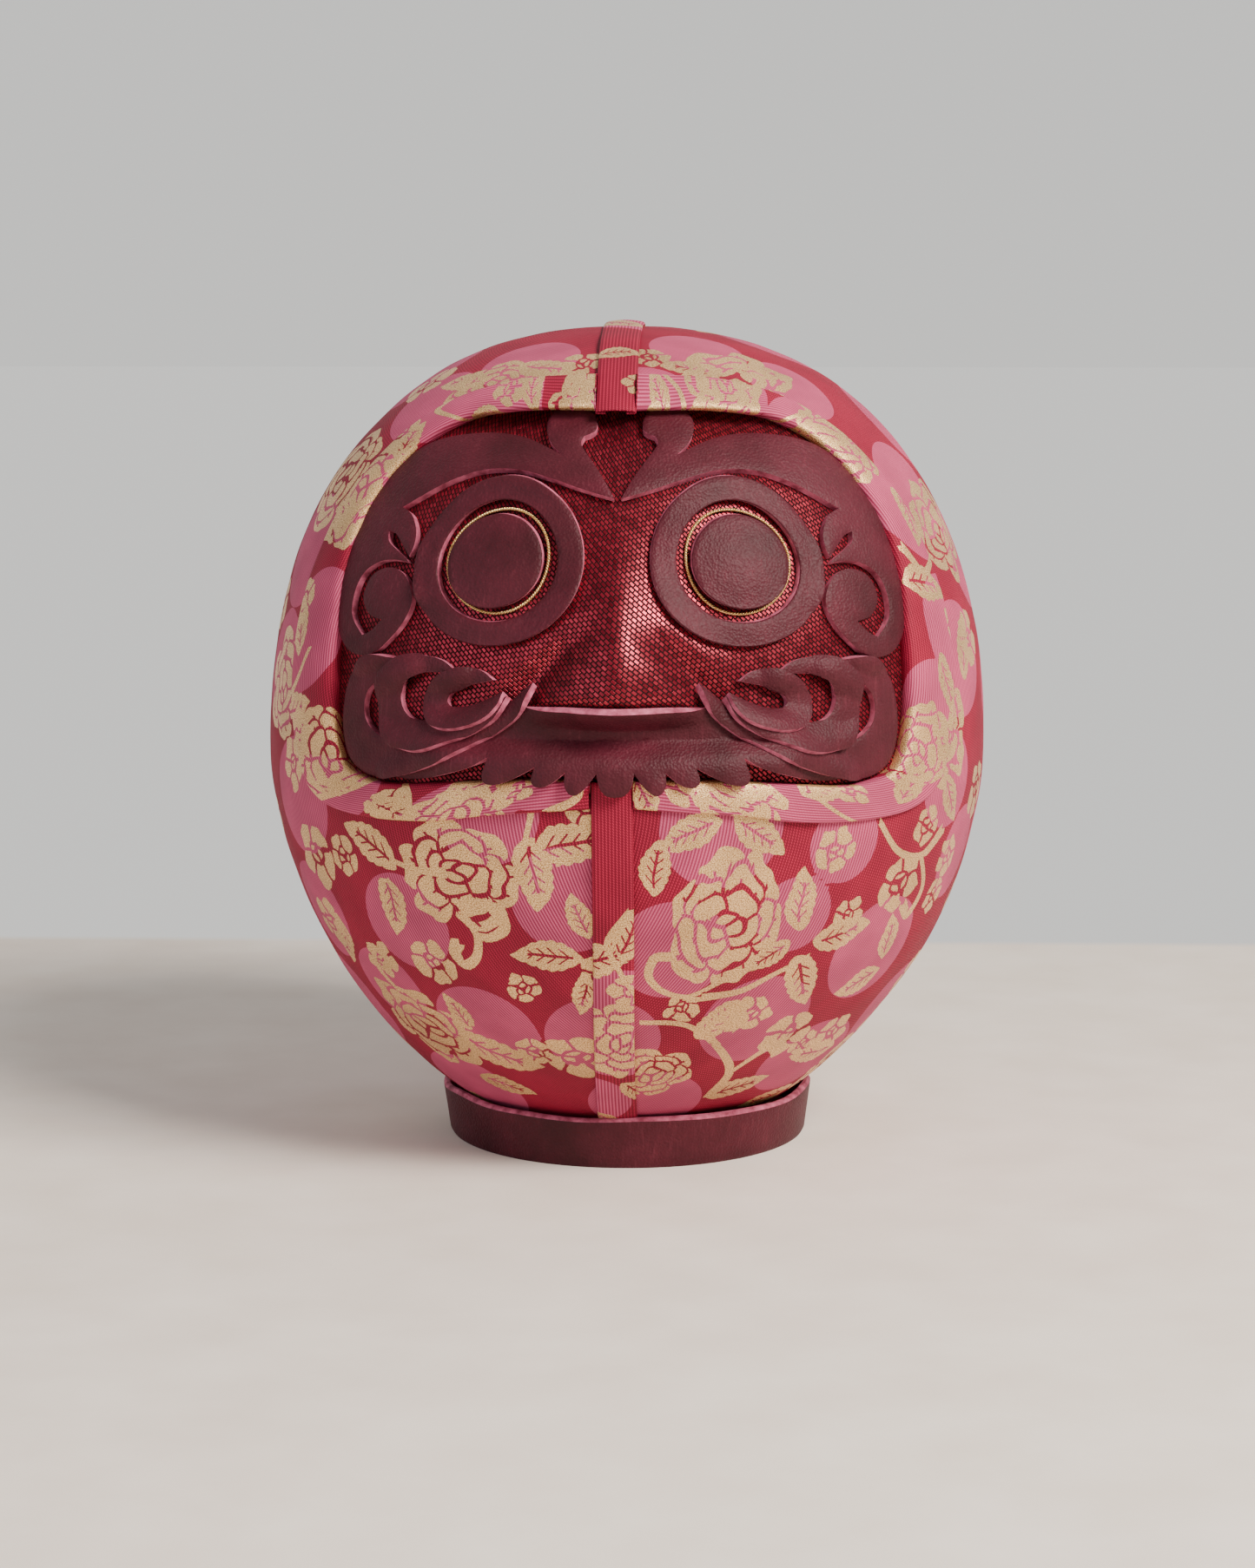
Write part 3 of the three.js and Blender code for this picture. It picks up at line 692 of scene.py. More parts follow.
def leaf_mask(tree, name):
    """A pointed leaf with a toothed edge and cut-out veins, lying along the motif's first axis."""
    place, wrapped = on_motif(tree, name)
    wander = node(tree, "TexNoise", into={"Vector": place, "Scale": 0.7, "Detail": 0.0},
                  noise_dimensions="2D")
    along = node(tree, "SeparateXYZ", wrapped)
    across = node(tree, "SeparateXYZ", wrapped, out=1)
    bend = node(tree, "MULTIPLY", node(tree, "SUBTRACT", wander, 0.5), 0.9)
    square = node(tree, "MULTIPLY", along, along)
    across = node(tree, "ABSOLUTE", node(tree, "MULTIPLY_ADD", square, bend, across))
    full = node(tree, "POWER", node(tree, "MAXIMUM", node(tree, "SUBTRACT", 1.0, square), 0.0), 0.8)
    belly = node(tree, "MULTIPLY_ADD", along, -0.12, 0.44)
    tooth = node(tree, "ABSOLUTE", node(tree, "SINE", node(tree, "MULTIPLY", along, 11.0)))
    belly = node(tree, "MULTIPLY_ADD", tooth, 0.06, belly)
    half_width = node(tree, "MULTIPLY", full, belly)
    blade = node(tree, "LESS_THAN", across, half_width)
    inside = node(tree, "LESS_THAN", node(tree, "ABSOLUTE", node(tree, "ADD", along, 0.1)), 0.62)
    midrib = node(tree, "LESS_THAN", across, 0.045)
    slant = node(tree, "MULTIPLY", node(tree, "MULTIPLY_ADD", across, -1.1, along), 3.1)
    side_vein = node(tree, "LESS_THAN", node(tree, "FRACT", slant), 0.22)
    near_midrib = node(tree, "LESS_THAN", across, node(tree, "MULTIPLY", half_width, 0.55))
    side_vein = node(tree, "MULTIPLY", side_vein, near_midrib)
    veins = node(tree, "MULTIPLY", inside, node(tree, "MAXIMUM", midrib, side_vein))
    return node(tree, "MULTIPLY", blade, node(tree, "SUBTRACT", 1.0, veins))


def stem_mask(tree):
    place = node(tree, "UVMap", uv_map="stem")
    across = node(tree, "ABSOLUTE", node(tree, "SeparateXYZ", place, out=1))
    return node(tree, "LESS_THAN", across, 1.0)


PEONY_RINGS = [(0.24, 3, 0.4), (0.52, 4, 1.2), (0.8, 5, 0.3), (1.06, 6, 0.9)]   # reach, petals, start
BLOSSOM_RINGS = [(0.3, 3, 0.2), (1.0, 5, 0.5)]
PEONY_RADIUS, BLOSSOM_RADIUS = 11, 5.5          # of a middling flower, in mm, for the width of its gaps

# %% [markdown]
# The masks only say where the gold floats lie. Under them the ground is drawn from the weave map: a
# cosine for the ribs, and a second one along each rib for its stitches, with a lighter colour in the
# discs. The crests of the ribs and stitches are painted lighter, as a painted sheen that follows
# their bump. All of it sits in one material, so that the panels, the border and the strips are cut
# from the same cloth, as on the real doll.

# %% The brocade material
def wave(tree, value):
    """A cosine between 0 and 1 that repeats with every whole step of the value."""
    turn = node(tree, "MULTIPLY", value, 2 * math.pi)
    return node(tree, "MULTIPLY_ADD", node(tree, "COSINE", turn), 0.5, 0.5)


def make_brocade():
    """Satin ribs with stitches, and floats of gold: painted light along the ribs and painted sandy glints.
    """
    tree, surface = new_material("woven brocade")
    flowers = node(tree, "MAXIMUM", flower_mask(tree, "peony", PEONY_RINGS, PEONY_RADIUS),
                   flower_mask(tree, "blossom", BLOSSOM_RINGS, BLOSSOM_RADIUS))
    greens = node(tree, "MAXIMUM", leaf_mask(tree, "leaf"), stem_mask(tree))
    gold = node(tree, "MAXIMUM", flowers, greens)
    depth = node(tree, "Attribute", attribute_name="disc_depth", out=2)
    disc = node(tree, "GREATER_THAN", depth, 0.0)

    weave = node(tree, "UVMap", uv_map="weave")
    x = node(tree, "DIVIDE", node(tree, "SeparateXYZ", weave), RIB_PITCH)
    y = node(tree, "DIVIDE", node(tree, "SeparateXYZ", weave, out=1), STITCH_PITCH)
    rib = wave(tree, x)
    stitch = wave(tree, node(tree, "MULTIPLY_ADD", node(tree, "FLOOR", x), STITCH_SHIFT, y))
    stitch_crest_sheen = node(tree, "POWER", node(tree, "MULTIPLY", rib, stitch), 1.5)
    uneven = node(tree, "TexNoise", into={"Vector": weave, "Scale": CLOUD_SCALE, "Detail": 2.0},
                  noise_dimensions="2D")
    glint = node(tree, "TexNoise", into={"Vector": weave, "Scale": 1 / GLITTER, "Detail": 1.0},
                 noise_dimensions="2D")
    glint = node(tree, "MapRange", glint, 0.3, 0.7, 0.0, 1.0)

    # Painted sheen: the ground and the pink are lighter on the crests of the ribs and stitches, as their
    # bump is.
    ground = node(tree, "MixRGB", stitch_crest_sheen, linear("#720322"), linear("#C82850"))
    pink = node(tree, "MixRGB", rib, linear("#8A2444"), linear("#C45076"))
    pink = node(tree, "MixRGB", node(tree, "MULTIPLY", stitch_crest_sheen, 0.35), pink, linear("#E4809A"))
    # Painted glints: the gold goes from ochre to pale cream with the glint noise, which also raises its
    # bump.
    thread = node(tree, "MixRGB", glint, linear("#A0662C"), linear("#FFDCA4"))
    cloth = node(tree, "MixRGB", disc, ground, pink)
    colour = node(tree, "MixRGB", gold, cloth, thread)
    shade = node(tree, "MapRange", uneven, 0.3, 0.7, 0.86, 1.08)
    colour = node(tree, "VectorMath", colour, shade, operation="MULTIPLY")

    ground_height = node(tree, "MULTIPLY_ADD", rib, 0.5, node(tree, "MULTIPLY", stitch_crest_sheen, 0.5))
    gold_height = node(tree, "MULTIPLY_ADD", glint, 0.8, 0.9)
    height = node(tree, "MixRGB", gold, ground_height, gold_height)
    bump = node(tree, "Bump", into={"Height": height, "Strength": 0.5, "Distance": 0.00012})
    rough = node(tree, "MULTIPLY_ADD", gold, -0.28, 0.7)
    metal = node(tree, "MULTIPLY", gold, 0.65)
    return surface(Base_Color=colour, Roughness=rough, Metallic=metal, Normal=bump, Specular_IOR_Level=0.25)


brocade = make_brocade()
print("brocade nodes:", len(brocade.node_tree.nodes))

# %% [markdown]
# ## Dark red face cloth
# The face is a coarse lurex cloth: short flat stitches of shiny red thread in slanting rows, with
# nearly black gaps between them. Bricks laid in a running bond and turned by 42 degrees are the
# same pattern, so the Brick texture draws both the colours and the relief.

# %% The face cloth material
TWILL_ANGLE = math.radians(42)
STITCH_LENGTH, STITCH_ROW = 1.1, 0.72           # of the face cloth, in mm
STITCH_GAP = 0.15


def make_face_cloth():
    """Metal-wrapped thread: each stitch is a small red mirror with a dark gap round it."""
    tree, surface = new_material("red lurex cloth")
    weave = node(tree, "UVMap", uv_map="weave")
    turned_weave = node(tree, "Mapping", weave, into={"Rotation": (0, 0, TWILL_ANGLE)})
    sizes = {
        "Vector": turned_weave, "Color1": linear("#6E0C1E"), "Color2": linear("#A4263A"),
        "Mortar": linear("#140206"), "Scale": 1.0, "Mortar Size": STITCH_GAP, "Mortar Smooth": 0.7,
        "Bias": 0.0, "Brick Width": STITCH_LENGTH, "Row Height": STITCH_ROW,
    }
    colour = node(tree, "TexBrick", into=sizes, offset=0.5)
    gap = tree.nodes[-1].outputs["Fac"]
    bump = node(tree, "Bump", into={"Height": gap, "Strength": 1.0, "Distance": 0.0003}, invert=True)
    rough = node(tree, "MULTIPLY_ADD", gap, 0.3, 0.34)
    return surface(Base_Color=colour, Roughness=rough, Metallic=0.7, Normal=bump)


face_red = make_face_cloth()
print("stitches of the face cloth:", STITCH_LENGTH, "by", STITCH_ROW, "mm")

# %% [markdown]
# ## Leather, its raw edge, and the small materials
# The leather is vegetable-tanned hide dyed burgundy: a pebble grain of about half a millimetre,
# broad cloudy changes of colour, fine upright scratches, and a satin finish. Where the knife went
# through it the pink core shows, dry and a little fibrous. The cord is gilt thread, and what is
# hidden is felt, card, clay and papier-mache. All of them read Object coordinates, in metres, so a
# scale of one over a size in metres gives a grain of that size.

# %% Leather and the rest
FINE_GRAIN = 2200.0             # per metre: a little under half a millimetre
CLOUDS = 60.0                   # per metre: between one and two centimetres
SCRATCHES = (2100, 2100, 90)    # upright: about half a millimetre wide and a centimetre long


def make_leather(name, dark, light, worn, grain, roughness):
    """Dyed hide: a soft broken shine over a cloudy dark colour, with the grain seen in the shine."""
    tree, surface = new_material(name)
    place = node(tree, "TexCoord", out=3)
    pebble = node(tree, "TexVoronoi", into={"Vector": place, "Scale": 1 / (grain * MM)}, feature="F1")
    fine = node(tree, "TexNoise", into={"Vector": place, "Scale": FINE_GRAIN, "Detail": 3.0})
    cloud = node(tree, "TexNoise", into={"Vector": place, "Scale": CLOUDS, "Detail": 4.0, "Roughness": 0.6})
    amount = node(tree, "MapRange", cloud, 0.35, 0.65, 0.0, 1.0)
    colour = node(tree, "MixRGB", amount, linear(dark), linear(light))
    streak = node(tree, "Mapping", place, into={"Scale": SCRATCHES})
    streak = node(tree, "TexNoise", into={"Vector": streak, "Scale": 1.0, "Detail": 2.0})
    streak = node(tree, "MULTIPLY", node(tree, "MapRange", streak, 0.55, 0.75, 0.0, 0.3), amount)
    colour = node(tree, "MixRGB", streak, colour, linear(worn))
    height = node(tree, "MULTIPLY_ADD", fine, 0.5, pebble)
    bump = node(tree, "Bump", into={"Height": height, "Strength": 0.65, "Distance": 0.00015})
    rough = node(tree, "MULTIPLY_ADD", fine, 0.25, roughness)
    return surface(Base_Color=colour, Roughness=rough, Normal=bump, IOR=1.5, Specular_IOR_Level=0.22)


def make_plain(name, hex_dark, hex_light, scale, roughness, depth, metallic=0.0):
    """A rough material whose colour and surface both follow one noise."""
    tree, surface = new_material(name)
    place = node(tree, "TexCoord", out=3)
    noise = node(tree, "TexNoise", into={"Vector": place, "Scale": scale, "Detail": 6.0, "Roughness": 0.65})
    amount = node(tree, "MapRange", noise, 0.35, 0.65, 0.0, 1.0)
    colour = node(tree, "MixRGB", amount, linear(hex_dark), linear(hex_light))
    bump = node(tree, "Bump", into={"Height": noise, "Strength": 0.6, "Distance": depth * MM})
    return surface(Base_Color=colour, Roughness=roughness, Metallic=metallic, Normal=bump)


leather = make_leather("burgundy leather", "#390C16", "#4E1523", "#7A3644", 0.5, 0.42)
# Undyed fibres at the knife's cut: paler, pink and dry, which draws a thin line round each shape.
raw_edge = make_plain("raw leather edge", "#7A2A40", "#C46480", 420, 0.85, 0.1)
# Foil wound on a cotton core: a warm metal with small bright glints, painted into its colour by the same
# noise that makes its bump.
gilt = make_plain("gilt thread", "#B98A3E", "#F0D79A", 3000, 0.32, 0.05, metallic=0.75)
# Pressed wool with no shine at all, coloured near black as painted shade: it draws the dark gap under the
# disc.
felt = make_plain("felt painted dark as shade", "#2A1216", "#4A2229", 2500, 0.95, 0.3)
# Pulp board: dull, with a fleck of fibres.
card = make_plain("grey-brown card", "#8E744F", "#A98C62", 700, 0.9, 0.1)
# Clay pressed in by hand and dried: matt and lumpy.
clay = make_plain("dried clay", "#7E6048", "#9C7A5C", 300, 0.95, 0.3)
# Torn paper in layers: matt, pale and softly uneven.
papier = make_plain("papier-mache", "#BDAF94", "#D6CBB2", 250, 0.92, 0.25)
print("leather nodes:", len(leather.node_tree.nodes))

# %% [markdown]
# ## Body panels
# Each panel is one half of the cover, from the foot to the crown. A flat grid is cut along the
# window and bent onto the egg, which is quicker and cleaner than simulating cloth that is glued
# down all over. The grid is a little uneven, as pasted cloth is, and a Solidify modifier gives it
# its thickness. The weave is measured from the middle of each panel, so the ribs lean towards the
# seams, low and high, as they do on the real doll.

# %% The window's outline and the panels
WINDOW_HALF = [
    (0, 145.5), (21, 145.6), (35, 144.9), (46, 143.3), (55, 138.6), (60.5, 131), (62.5, 123), (62.5, 114),
    (61, 105), (60, 96), (58.6, 87), (55.8, 81), (50, 78.5), (42, 78.1), (28, 79.6), (14, 80.8), (0, 81),
]
BAND_HALF = [
    (0, 151.5), (20, 151.2), (36, 150.3), (50, 147.8), (60, 143.5), (68, 136), (73, 126), (75, 114),
    (75.5, 102), (74, 90), (71, 81), (66.5, 75), (59, 72), (47, 71.3), (34, 72), (20, 74.2), (0, 76),
]
window_half = stroke(WINDOW_HALF, 8)
window_loop = np.vstack([window_half, window_half[-2:0:-1] * [-1, 1]])


def depth_inside(points, loop):
    """Distance of each flat point from a closed outline: positive inside and negative outside."""
    ends = np.roll(loop, -1, axis=0)
    best = np.full(len(points), 1e9)
    crossings = np.zeros(len(points), int)
    for a, b in zip(loop, ends):
        edge = b - a
        t = np.clip(((points - a) @ edge) / max(edge @ edge, 1e-12), 0, 1)
        best = np.minimum(best, np.linalg.norm(points - a - t[:, None] * edge, axis=1))
        spans = (a[1] > points[:, 1]) != (b[1] > points[:, 1])
        rise = edge[1] if edge[1] else 1e-12
        crossings += spans & (points[:, 0] < a[0] + (points[:, 1] - a[1]) / rise * edge[0])
    return np.where(crossings % 2 == 1, best, -best)


PANEL_SPACING = 1.2
UNDER_BAND = 2.4                # the panel stops this far outside the window, under the border
BROCADE = 0.6                   # thickness of the cloth on the panels, with its paste
STRIP_CLOTH = 0.25              # thickness of the single cloth in the border and the strips


def body_panel(side):
    half_round = math.pi * UNROLLED_RADIUS
    bm = bmesh.new()
    bmesh.ops.create_grid(bm, x_segments=round(half_round / PANEL_SPACING),
                          y_segments=round(MERIDIAN_LENGTH / PANEL_SPACING), size=0.5)
    bmesh.ops.scale(bm, vec=(half_round, MERIDIAN_LENGTH, 1), verts=bm.verts)
    bmesh.ops.translate(bm, vec=(side * half_round / 2, MERIDIAN_LENGTH / 2, 0), verts=bm.verts)
    middles = np.array([face.calc_center_median()[:2] for face in bm.faces])
    heights = meridian(middles[:, 1])[1]
    inside = depth_inside(np.stack([middles[:, 0], heights], -1), window_loop) > -UNDER_BAND
    cut = [face for face, gone in zip(bm.faces, inside) if gone]
    bmesh.ops.delete(bm, geom=cut, context="FACES")
    rim = [v for v in bm.verts if v.is_boundary and abs(v.co.x) > 1 and abs(v.co.x) < half_round - 1
           and 1 < v.co.y < MERIDIAN_LENGTH - 1]
    for _ in range(3):
        bmesh.ops.smooth_vert(bm, verts=rim, factor=0.5, use_axis_x=True, use_axis_y=True)
    mesh = mesh_from(bm, "body_panel")
    flat = corners(mesh)
    r, z, out_r, out_z = meridian(flat[:, 1])
    angle = flat[:, 0] / UNROLLED_RADIUS
    surface = np.stack([r * np.sin(angle), -r * np.cos(angle), z], -1)
    lift = 0.18 * waves(surface, 30, 3) + 0.06 * waves(surface, 9, 4)
    normal = np.stack([out_r * np.sin(angle), -out_r * np.cos(angle), out_z], -1)
    weave = np.stack([(angle - side * math.pi / 2) * r + 300, flat[:, 1]], -1)
    draw_brocade(mesh, surface, weave, on_the_body)
    move_corners(mesh, (surface + normal * lift[:, None]) * MM)
    bm = bmesh.new()
    bm.from_mesh(mesh)
    bmesh.ops.remove_doubles(bm, verts=bm.verts, dist=0.02 * MM)
    bmesh.ops.recalc_face_normals(bm, faces=bm.faces)
    bm.to_mesh(mesh)
    bm.free()
    return mesh


for word, side in (("left", -1), ("right", 1)):
    panel = put_in_scene(f"brocade_panel_{word}", body_panel(side), [brocade],
                         [f"body_panel_{word}"], wall=BROCADE)

# %% [markdown]
# ## The border round the window
# A strip of brocade is folded under along its outer edge, laid on the panels, and rolled over the
# window's edge into the face. Its section is drawn once and carried round the window, between the
# inner and the outer outline. The section and the window are both smooth curves, so a grid whose
# rows follow one and whose columns follow the other makes the whole border.

# %% Border bands
# Share of the width from the window's edge, height above the panel, depth into the window.
BAND_SECTION = [
    (0.66, 0.1, 0), (0.82, 0.1, 0), (0.95, 0.14, 0), (0.993, 0.4, 0), (0.995, 0.75, 0),
    (0.95, 1.0, 0), (0.8, 1.1, 0), (0.5, 1.25, 0), (0.25, 1.2, 0), (0.1, 1.0, 0), (0.02, 0.55, 0),
    (0.0, 0.0, 0.4), (0.0, 0.0, 1.3), (0.02, 0.0, 2.3),
]
BAND_WIDTH = 9                  # of a middling stretch, which the section's steps are evened out for
BAND_COLUMNS, BAND_ROWS = 240, 40


def even_steps(points, count):
    """Points at equal distances along a line."""
    length = np.concatenate([[0], np.cumsum(np.linalg.norm(np.diff(points, axis=0), axis=1))])
    at = np.linspace(0, length[-1], count)
    return np.stack([np.interp(at, length, points[:, k]) for k in range(points.shape[1])], -1), length[-1]


def unit_grid(name, columns, rows):
    """A grid of corners in columns and rows, with the column and the row of each corner."""
    bm = bmesh.new()
    bmesh.ops.create_grid(bm, x_segments=columns - 1, y_segments=rows - 1, size=0.5)
    mesh = mesh_from(bm, name)
    share = corners(mesh)[:, :2] + 0.5
    column = np.clip(np.round(share[:, 0] * (columns - 1)), 0, columns - 1).astype(int)
    row = np.clip(np.round(share[:, 1] * (rows - 1)), 0, rows - 1).astype(int)
    return mesh, column, row


def facing_out(mesh):
    """Turns an open sheet so that most of its faces look away from the doll's middle."""
    middle = Vector((0, 0, WAIST_HEIGHT * MM))
    outward = sum(face.area * face.normal.dot(face.center - middle) for face in mesh.polygons)
    if outward < 0:
        mesh.flip_normals()
    return mesh


def border_band(side):
    inner, inner_length = even_steps(stroke(WINDOW_HALF, 8), BAND_COLUMNS)
    outer, outer_length = even_steps(stroke(BAND_HALF, 8), BAND_COLUMNS)
    section, _ = even_steps(stroke(BAND_SECTION, 6) * [BAND_WIDTH, 1, 1], BAND_ROWS)
    section_run = np.concatenate([[0], np.cumsum(np.linalg.norm(np.diff(section, axis=0), axis=1))])
    section = section / [BAND_WIDTH, 1, 1]
    mesh, column, row = unit_grid("border_band", BAND_COLUMNS, BAND_ROWS)
    across = outer[column] - inner[column]
    width = np.linalg.norm(across, axis=1)
    share, lift, depth = section[row].T
    place = inner[column] + across * share[:, None]
    u = place[:, 0] * side
    z = place[:, 1]
    edge = UNROLLED_RADIUS * np.arcsin((SEAM_X + side * (STRIP_HALF_WIDTH + 0.1)) / body_radius(z))
    u = np.where(side * u < side * edge, edge, u)
    spot = on_body(u, z)
    puff = 1 + 0.12 * waves(spot, 16, 11 + side)
    deeper = 1 + 1.4 * ease((z - 138) / 6)
    spots = on_body(u, z, lift * puff + 0.1, depth * deeper)
    along = column / (BAND_COLUMNS - 1) * (inner_length + outer_length) / 2
    cloth = np.stack([along, section_run[row] * width / BAND_WIDTH - 8, 0 * along], -1)
    weave = np.stack([cloth[:, 1] + 200, cloth[:, 0]], -1)
    draw_brocade(mesh, cloth, weave, flat_drawing(*strip_drawing(along.max(), 40 + side)))
    move_corners(mesh, spots * MM)
    return facing_out(mesh)


for word, side in (("left", -1), ("right", 1)):
    band = put_in_scene(f"brocade_border_{word}", border_band(side), [brocade],
                        [f"border_band_{word}"], wall=STRIP_CLOTH)

# %% [markdown]
# ## Seam strips
# A strip with both long edges folded under covers the seam between the panels: a short one from the
# foot to the window, and a long one from the window over the crown and down the back.

# %% Strips over the seam
STRIP_SECTION = [     # distance from the middle, height above the panels
    (-1.9, 0.15), (-3.0, 0.15), (-3.65, 0.25), (-3.8, 0.55), (-3.6, 0.85), (-2.8, 1.0), (0, 1.1),
    (2.8, 1.0), (3.6, 0.85), (3.8, 0.55), (3.65, 0.25), (3.0, 0.15), (1.9, 0.15),
]
STRIP_ROWS = 34
STRIP_SPACING = 1.0


def seam_path():
    """The line along the seam, up the front, over the crown and down the back: y, z, normal, radius."""
    up = np.linspace(0, MERIDIAN_LENGTH - 2, 400)
    r, z, out_r, out_z = meridian(up)
    y = np.sqrt(np.maximum(r ** 2 - SEAM_X ** 2, 0))
    front = np.stack([-y, z, -out_r, out_z, r], -1)
    back = np.stack([y, z, out_r, out_z, r], -1)[::-1]
    return np.vstack([front, back])


def seam_strip(path, seed, drawn_for):
    line = path[:, :2]
    length = np.concatenate([[0], np.cumsum(np.linalg.norm(np.diff(line, axis=0), axis=1))])
    section, section_length = even_steps(stroke(STRIP_SECTION, 6), STRIP_ROWS)
    columns = round(length[-1] / STRIP_SPACING) + 1
    mesh, column, row = unit_grid("seam_strip", columns, STRIP_ROWS)
    at = column / (columns - 1) * length[-1]
    y, z, out_y, out_z, r = (np.interp(at, length, path[:, k]) for k in range(5))
    middle = np.stack([0 * at, y, z], -1)
    sway = 0.25 * waves(middle, 45, seed)
    x = section[row, 0]
    puff = 1 + 0.15 * waves(middle, 14, seed + 1)
    body_falls_away = x ** 2 / (2 * np.maximum(r, 30))
    lift = section[row, 1] * puff + 0.1 - body_falls_away
    size = np.hypot(out_y, out_z)
    spots = np.stack([SEAM_X + x + sway, y + out_y / size * lift, z + out_z / size * lift], -1)
    across = (row / (STRIP_ROWS - 1) - 0.5) * section_length
    cloth = np.stack([at, across, 0 * at], -1)
    draw_brocade(mesh, cloth, np.stack([across + 100, at], -1), drawn_for(length[-1]))
    move_corners(mesh, spots * MM)
    return facing_out(mesh), length[-1]


def front_strip_drawing(length):
    """Listed one by one: a peony on pink low down, leaves above it, and plain crimson under the beard."""
    peonies = [(33, 1, 19, 30), (3, -6, 14, 0)]
    leaves = [(53, -3, 15, 70), (58, 3, 13, 20), (17, 4, 9, 150)]
    blossoms = [(46, 3, 8, 0)]
    stems = [(0.6, [(45, 4), (51, 1), (57, -1), (63, 3)])]
    discs = [(37, 1, 14, 0), (14, -5, 8, 0)]
    return flat_drawing(peonies, leaves, blossoms, stems, discs)


def back_strip_drawing(length):
    """Listed down to the crown: crimson with one small flower; sown from there on."""
    peonies, leaves, blossoms, stems, discs = strip_drawing(length, 62, start=34)
    return flat_drawing(peonies, [(19, 0, 9, 80), *leaves], [(8, 4, 6, 0), *blossoms], stems, discs)


STRIP_FOOT = 7
STRIP_TOP = 81                  # the front strip ends at the window's lower edge
STRIP_END = 144.8               # the back strip just turns over the window's upper edge
whole_path = seam_path()
height = whole_path[:, 1]
is_front = whole_path[:, 0] < 0
below_window = whole_path[is_front & (height > STRIP_FOOT) & (height < STRIP_TOP)]
above_window = whole_path[~is_front & (height > STRIP_FOOT) | is_front & (height > STRIP_END)]
for word, path, seed, drawn_for in (("front", below_window, 61, front_strip_drawing),
                                    ("back", above_window, 62, back_strip_drawing)):
    mesh, length = seam_strip(path, seed, drawn_for)
    strip = put_in_scene(f"brocade_strip_{word}", mesh, [brocade],
                         [f"seam_strip_{word}"], wall=STRIP_CLOTH)

# %% [markdown]
# ## The face cloth
# One piece of cloth is glued over the face form, from edge to edge of the window and a little under
# the border. It is a flat grid again, cut to the window's outline and pushed out over the nose.

# %% Face cloth
CLOTH_SPACING = 0.8
CLOTH_TUCK = 0.8                # the cloth reaches this far under the border
CLOTH_WIDTH, CLOTH_HEIGHT = 130, 72
CLOTH_MIDDLE = 112              # height of the blank's middle
FORM_DEPTH = 0.9                # from the front of the cloth to the form under it


def face_cloth():
    bm = bmesh.new()
    bmesh.ops.create_grid(bm, x_segments=round(CLOTH_WIDTH / CLOTH_SPACING),
                          y_segments=round(CLOTH_HEIGHT / CLOTH_SPACING), size=0.5)
    bmesh.ops.scale(bm, vec=(CLOTH_WIDTH, CLOTH_HEIGHT, 1), verts=bm.verts)
    bmesh.ops.translate(bm, vec=(0, CLOTH_MIDDLE, 0), verts=bm.verts)
    middles = np.array([face.calc_center_median()[:2] for face in bm.faces])
    outside = depth_inside(middles, window_loop) < -CLOTH_TUCK
    bmesh.ops.delete(bm, geom=[f for f, gone in zip(bm.faces, outside) if gone], context="FACES")
    rim = [v for v in bm.verts if v.is_boundary]
    for _ in range(3):
        bmesh.ops.smooth_vert(bm, verts=rim, factor=0.5, use_axis_x=True, use_axis_y=True)
    mesh = mesh_from(bm, "face_cloth")
    flat = corners(mesh)
    write_map(mesh, "weave", (flat[:, :2] + 200)[corner_of_loop(mesh)])
    u, z = flat[:, 0], flat[:, 1]
    tuck = -0.5 * np.exp(-(u / 0.9) ** 2 - ((z - 95) / 1.6) ** 2)
    lift = 0.1 * waves(flat, 12, 5) + tuck
    move_corners(mesh, on_face(u, z, lift))
    return facing_out(mesh)


def face_form():
    """The papier-mache form behind the cloth, closed all round."""
    mesh = face_cloth()
    x, y, z = corners(mesh).T
    move_corners(mesh, on_face(np.arctan2(x, -y) * UNROLLED_RADIUS, z / MM, -FORM_DEPTH))
    return mesh


put_in_scene("papier_face_form", face_form(), [papier], ["face_form"], wall=5)
cloth = put_in_scene("red_face_cloth", face_cloth(), [face_red], ["face_cloth"], wall=0.5)

# %% [markdown]
# ## Leather shapes
# Brows, moustaches and beard are cut from thick leather with a knife. An outline is a few smooth
# strokes with corners between them, and the shape is filled, crossed by close rows of cuts so that
# it can bend, and given its thickness. The top is rounded a little towards the rim, and the cut
# wall gets the raw pink edge. Each layer lies on the cloth where it can, and climbs over the layers
# below it where it must, which is what makes the real shadows.

